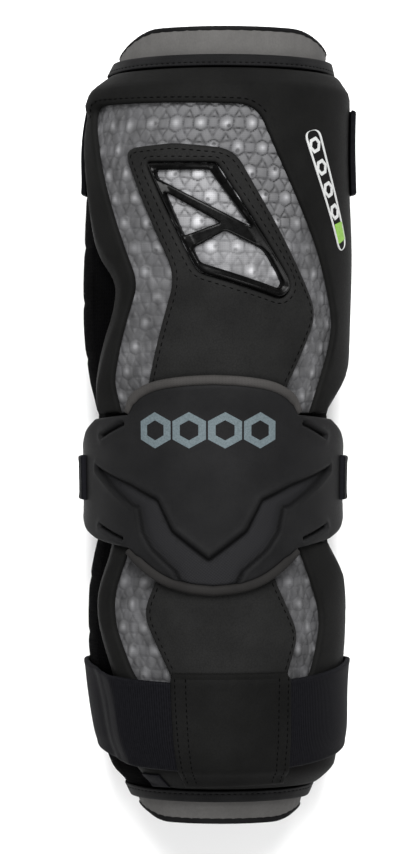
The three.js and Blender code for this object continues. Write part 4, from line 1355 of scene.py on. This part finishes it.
LABEL_CORNERS = [(62.7, 80.5), (70.6, 84.5), (48.6, 137.5), (39.2, 135.0)]
LABEL_HEXAGONS = [(46.0, 129.5), (59.6, 99.5)]
GREEN_CORNERS = [(59.2, 93.5, 1), (61.8, 84.5, 1), (68.9, 87.5, 1), (65.8, 95.5, 1)]


def label_shape(inward):
    """The long rounded outline of the printed place on the guard's side."""
    ring = beside_loop(np.array([(to_u(around), v) for around, v in LABEL_CORNERS]), inward)
    return loop([(np.degrees(u / AROUND_RADIUS), v, 4.5) for u, v in ring], 0, 1)


def label_low(u, v):
    return cover_base(upper_edge)(u, v) + 1.4


def label_high(u, v, d):
    return cover_base(upper_edge)(u, v) + PANEL + 0.34 + 0.22 * ripple(u, v, 30.0, 2.0)


printed("side_outline", label_shape(0), label_low, label_high, WHITE_PRINT,
        [label_shape(1.1)])
first, last = (np.array([to_u(around), v]) for around, v in LABEL_HEXAGONS)
for k in range(4):
    middle = first + (last - first) * k / 3
    outer, hole = (hexagon(middle, size, 25) for size in LABEL_SIZES)
    printed(f"side_hexagon_{k + 1}", outer, label_low, label_high, WHITE_PRINT, [hole])
printed("side_patch", loop(GREEN_CORNERS, 0, 1), label_low, label_high, GREEN_PRINT)


# Camera, lights and floor

FLOOR_REACH = 4.0  # metres
CAMERA_HEIGHT = 1.45  # metres
LAMPS = {"key": (122, (0.05, 1.3, 1.95)), "fill": (46, (0.05, -1.25, 1.95))}  # watts and place in metres
LAMP_SIZE = (1.0, 1.4)
AMBIENT = 0.22

floor_mesh = bpy.data.meshes.new("floor")
floor_corners = [(x * FLOOR_REACH, y * FLOOR_REACH, 0) for x, y in ((-1, -1), (1, -1), (1, 1), (-1, 1))]
floor_mesh.from_pydata(floor_corners, [], [(0, 1, 2, 3)])
floor = add_object("floor", floor_mesh)


def floor_fill(net):
    return net.blend(net.between(net.noise(3.0, 2.0), 0.3, 0.7), shade(0.86), shade(0.9)), None, None


floor_mesh.materials.append(material("Pale floor", floor_fill, 0.8, 0.1))

camera_data = bpy.data.cameras.new("camera")
camera_data.sensor_fit = "VERTICAL"
camera_data.sensor_height = 36
camera_data.lens = 124.24
camera = add_object("camera", camera_data)
camera.location = ((MIDDLE_X - 3.1) * MM, -0.5 * MM, CAMERA_HEIGHT)
bpy.context.scene.camera = camera

for name, (power, place) in LAMPS.items():
    data = bpy.data.lights.new(name, "AREA")
    data.shape = "RECTANGLE"
    data.size, data.size_y = LAMP_SIZE
    data.energy = power
    light = add_object(name, data)
    light.location = place
    light.rotation_euler = (Vector(place) - Vector((0, 0, 0.05))).to_track_quat("Z", "Y").to_euler()

world = bpy.data.worlds.new("studio")
world.use_nodes = True
background = world.node_tree.nodes["Background"].inputs
background["Color"].default_value = (1, 1, 1, 1)
background["Strength"].default_value = AMBIENT
bpy.context.scene.world = world
bpy.context.scene.view_settings.view_transform = "Standard"
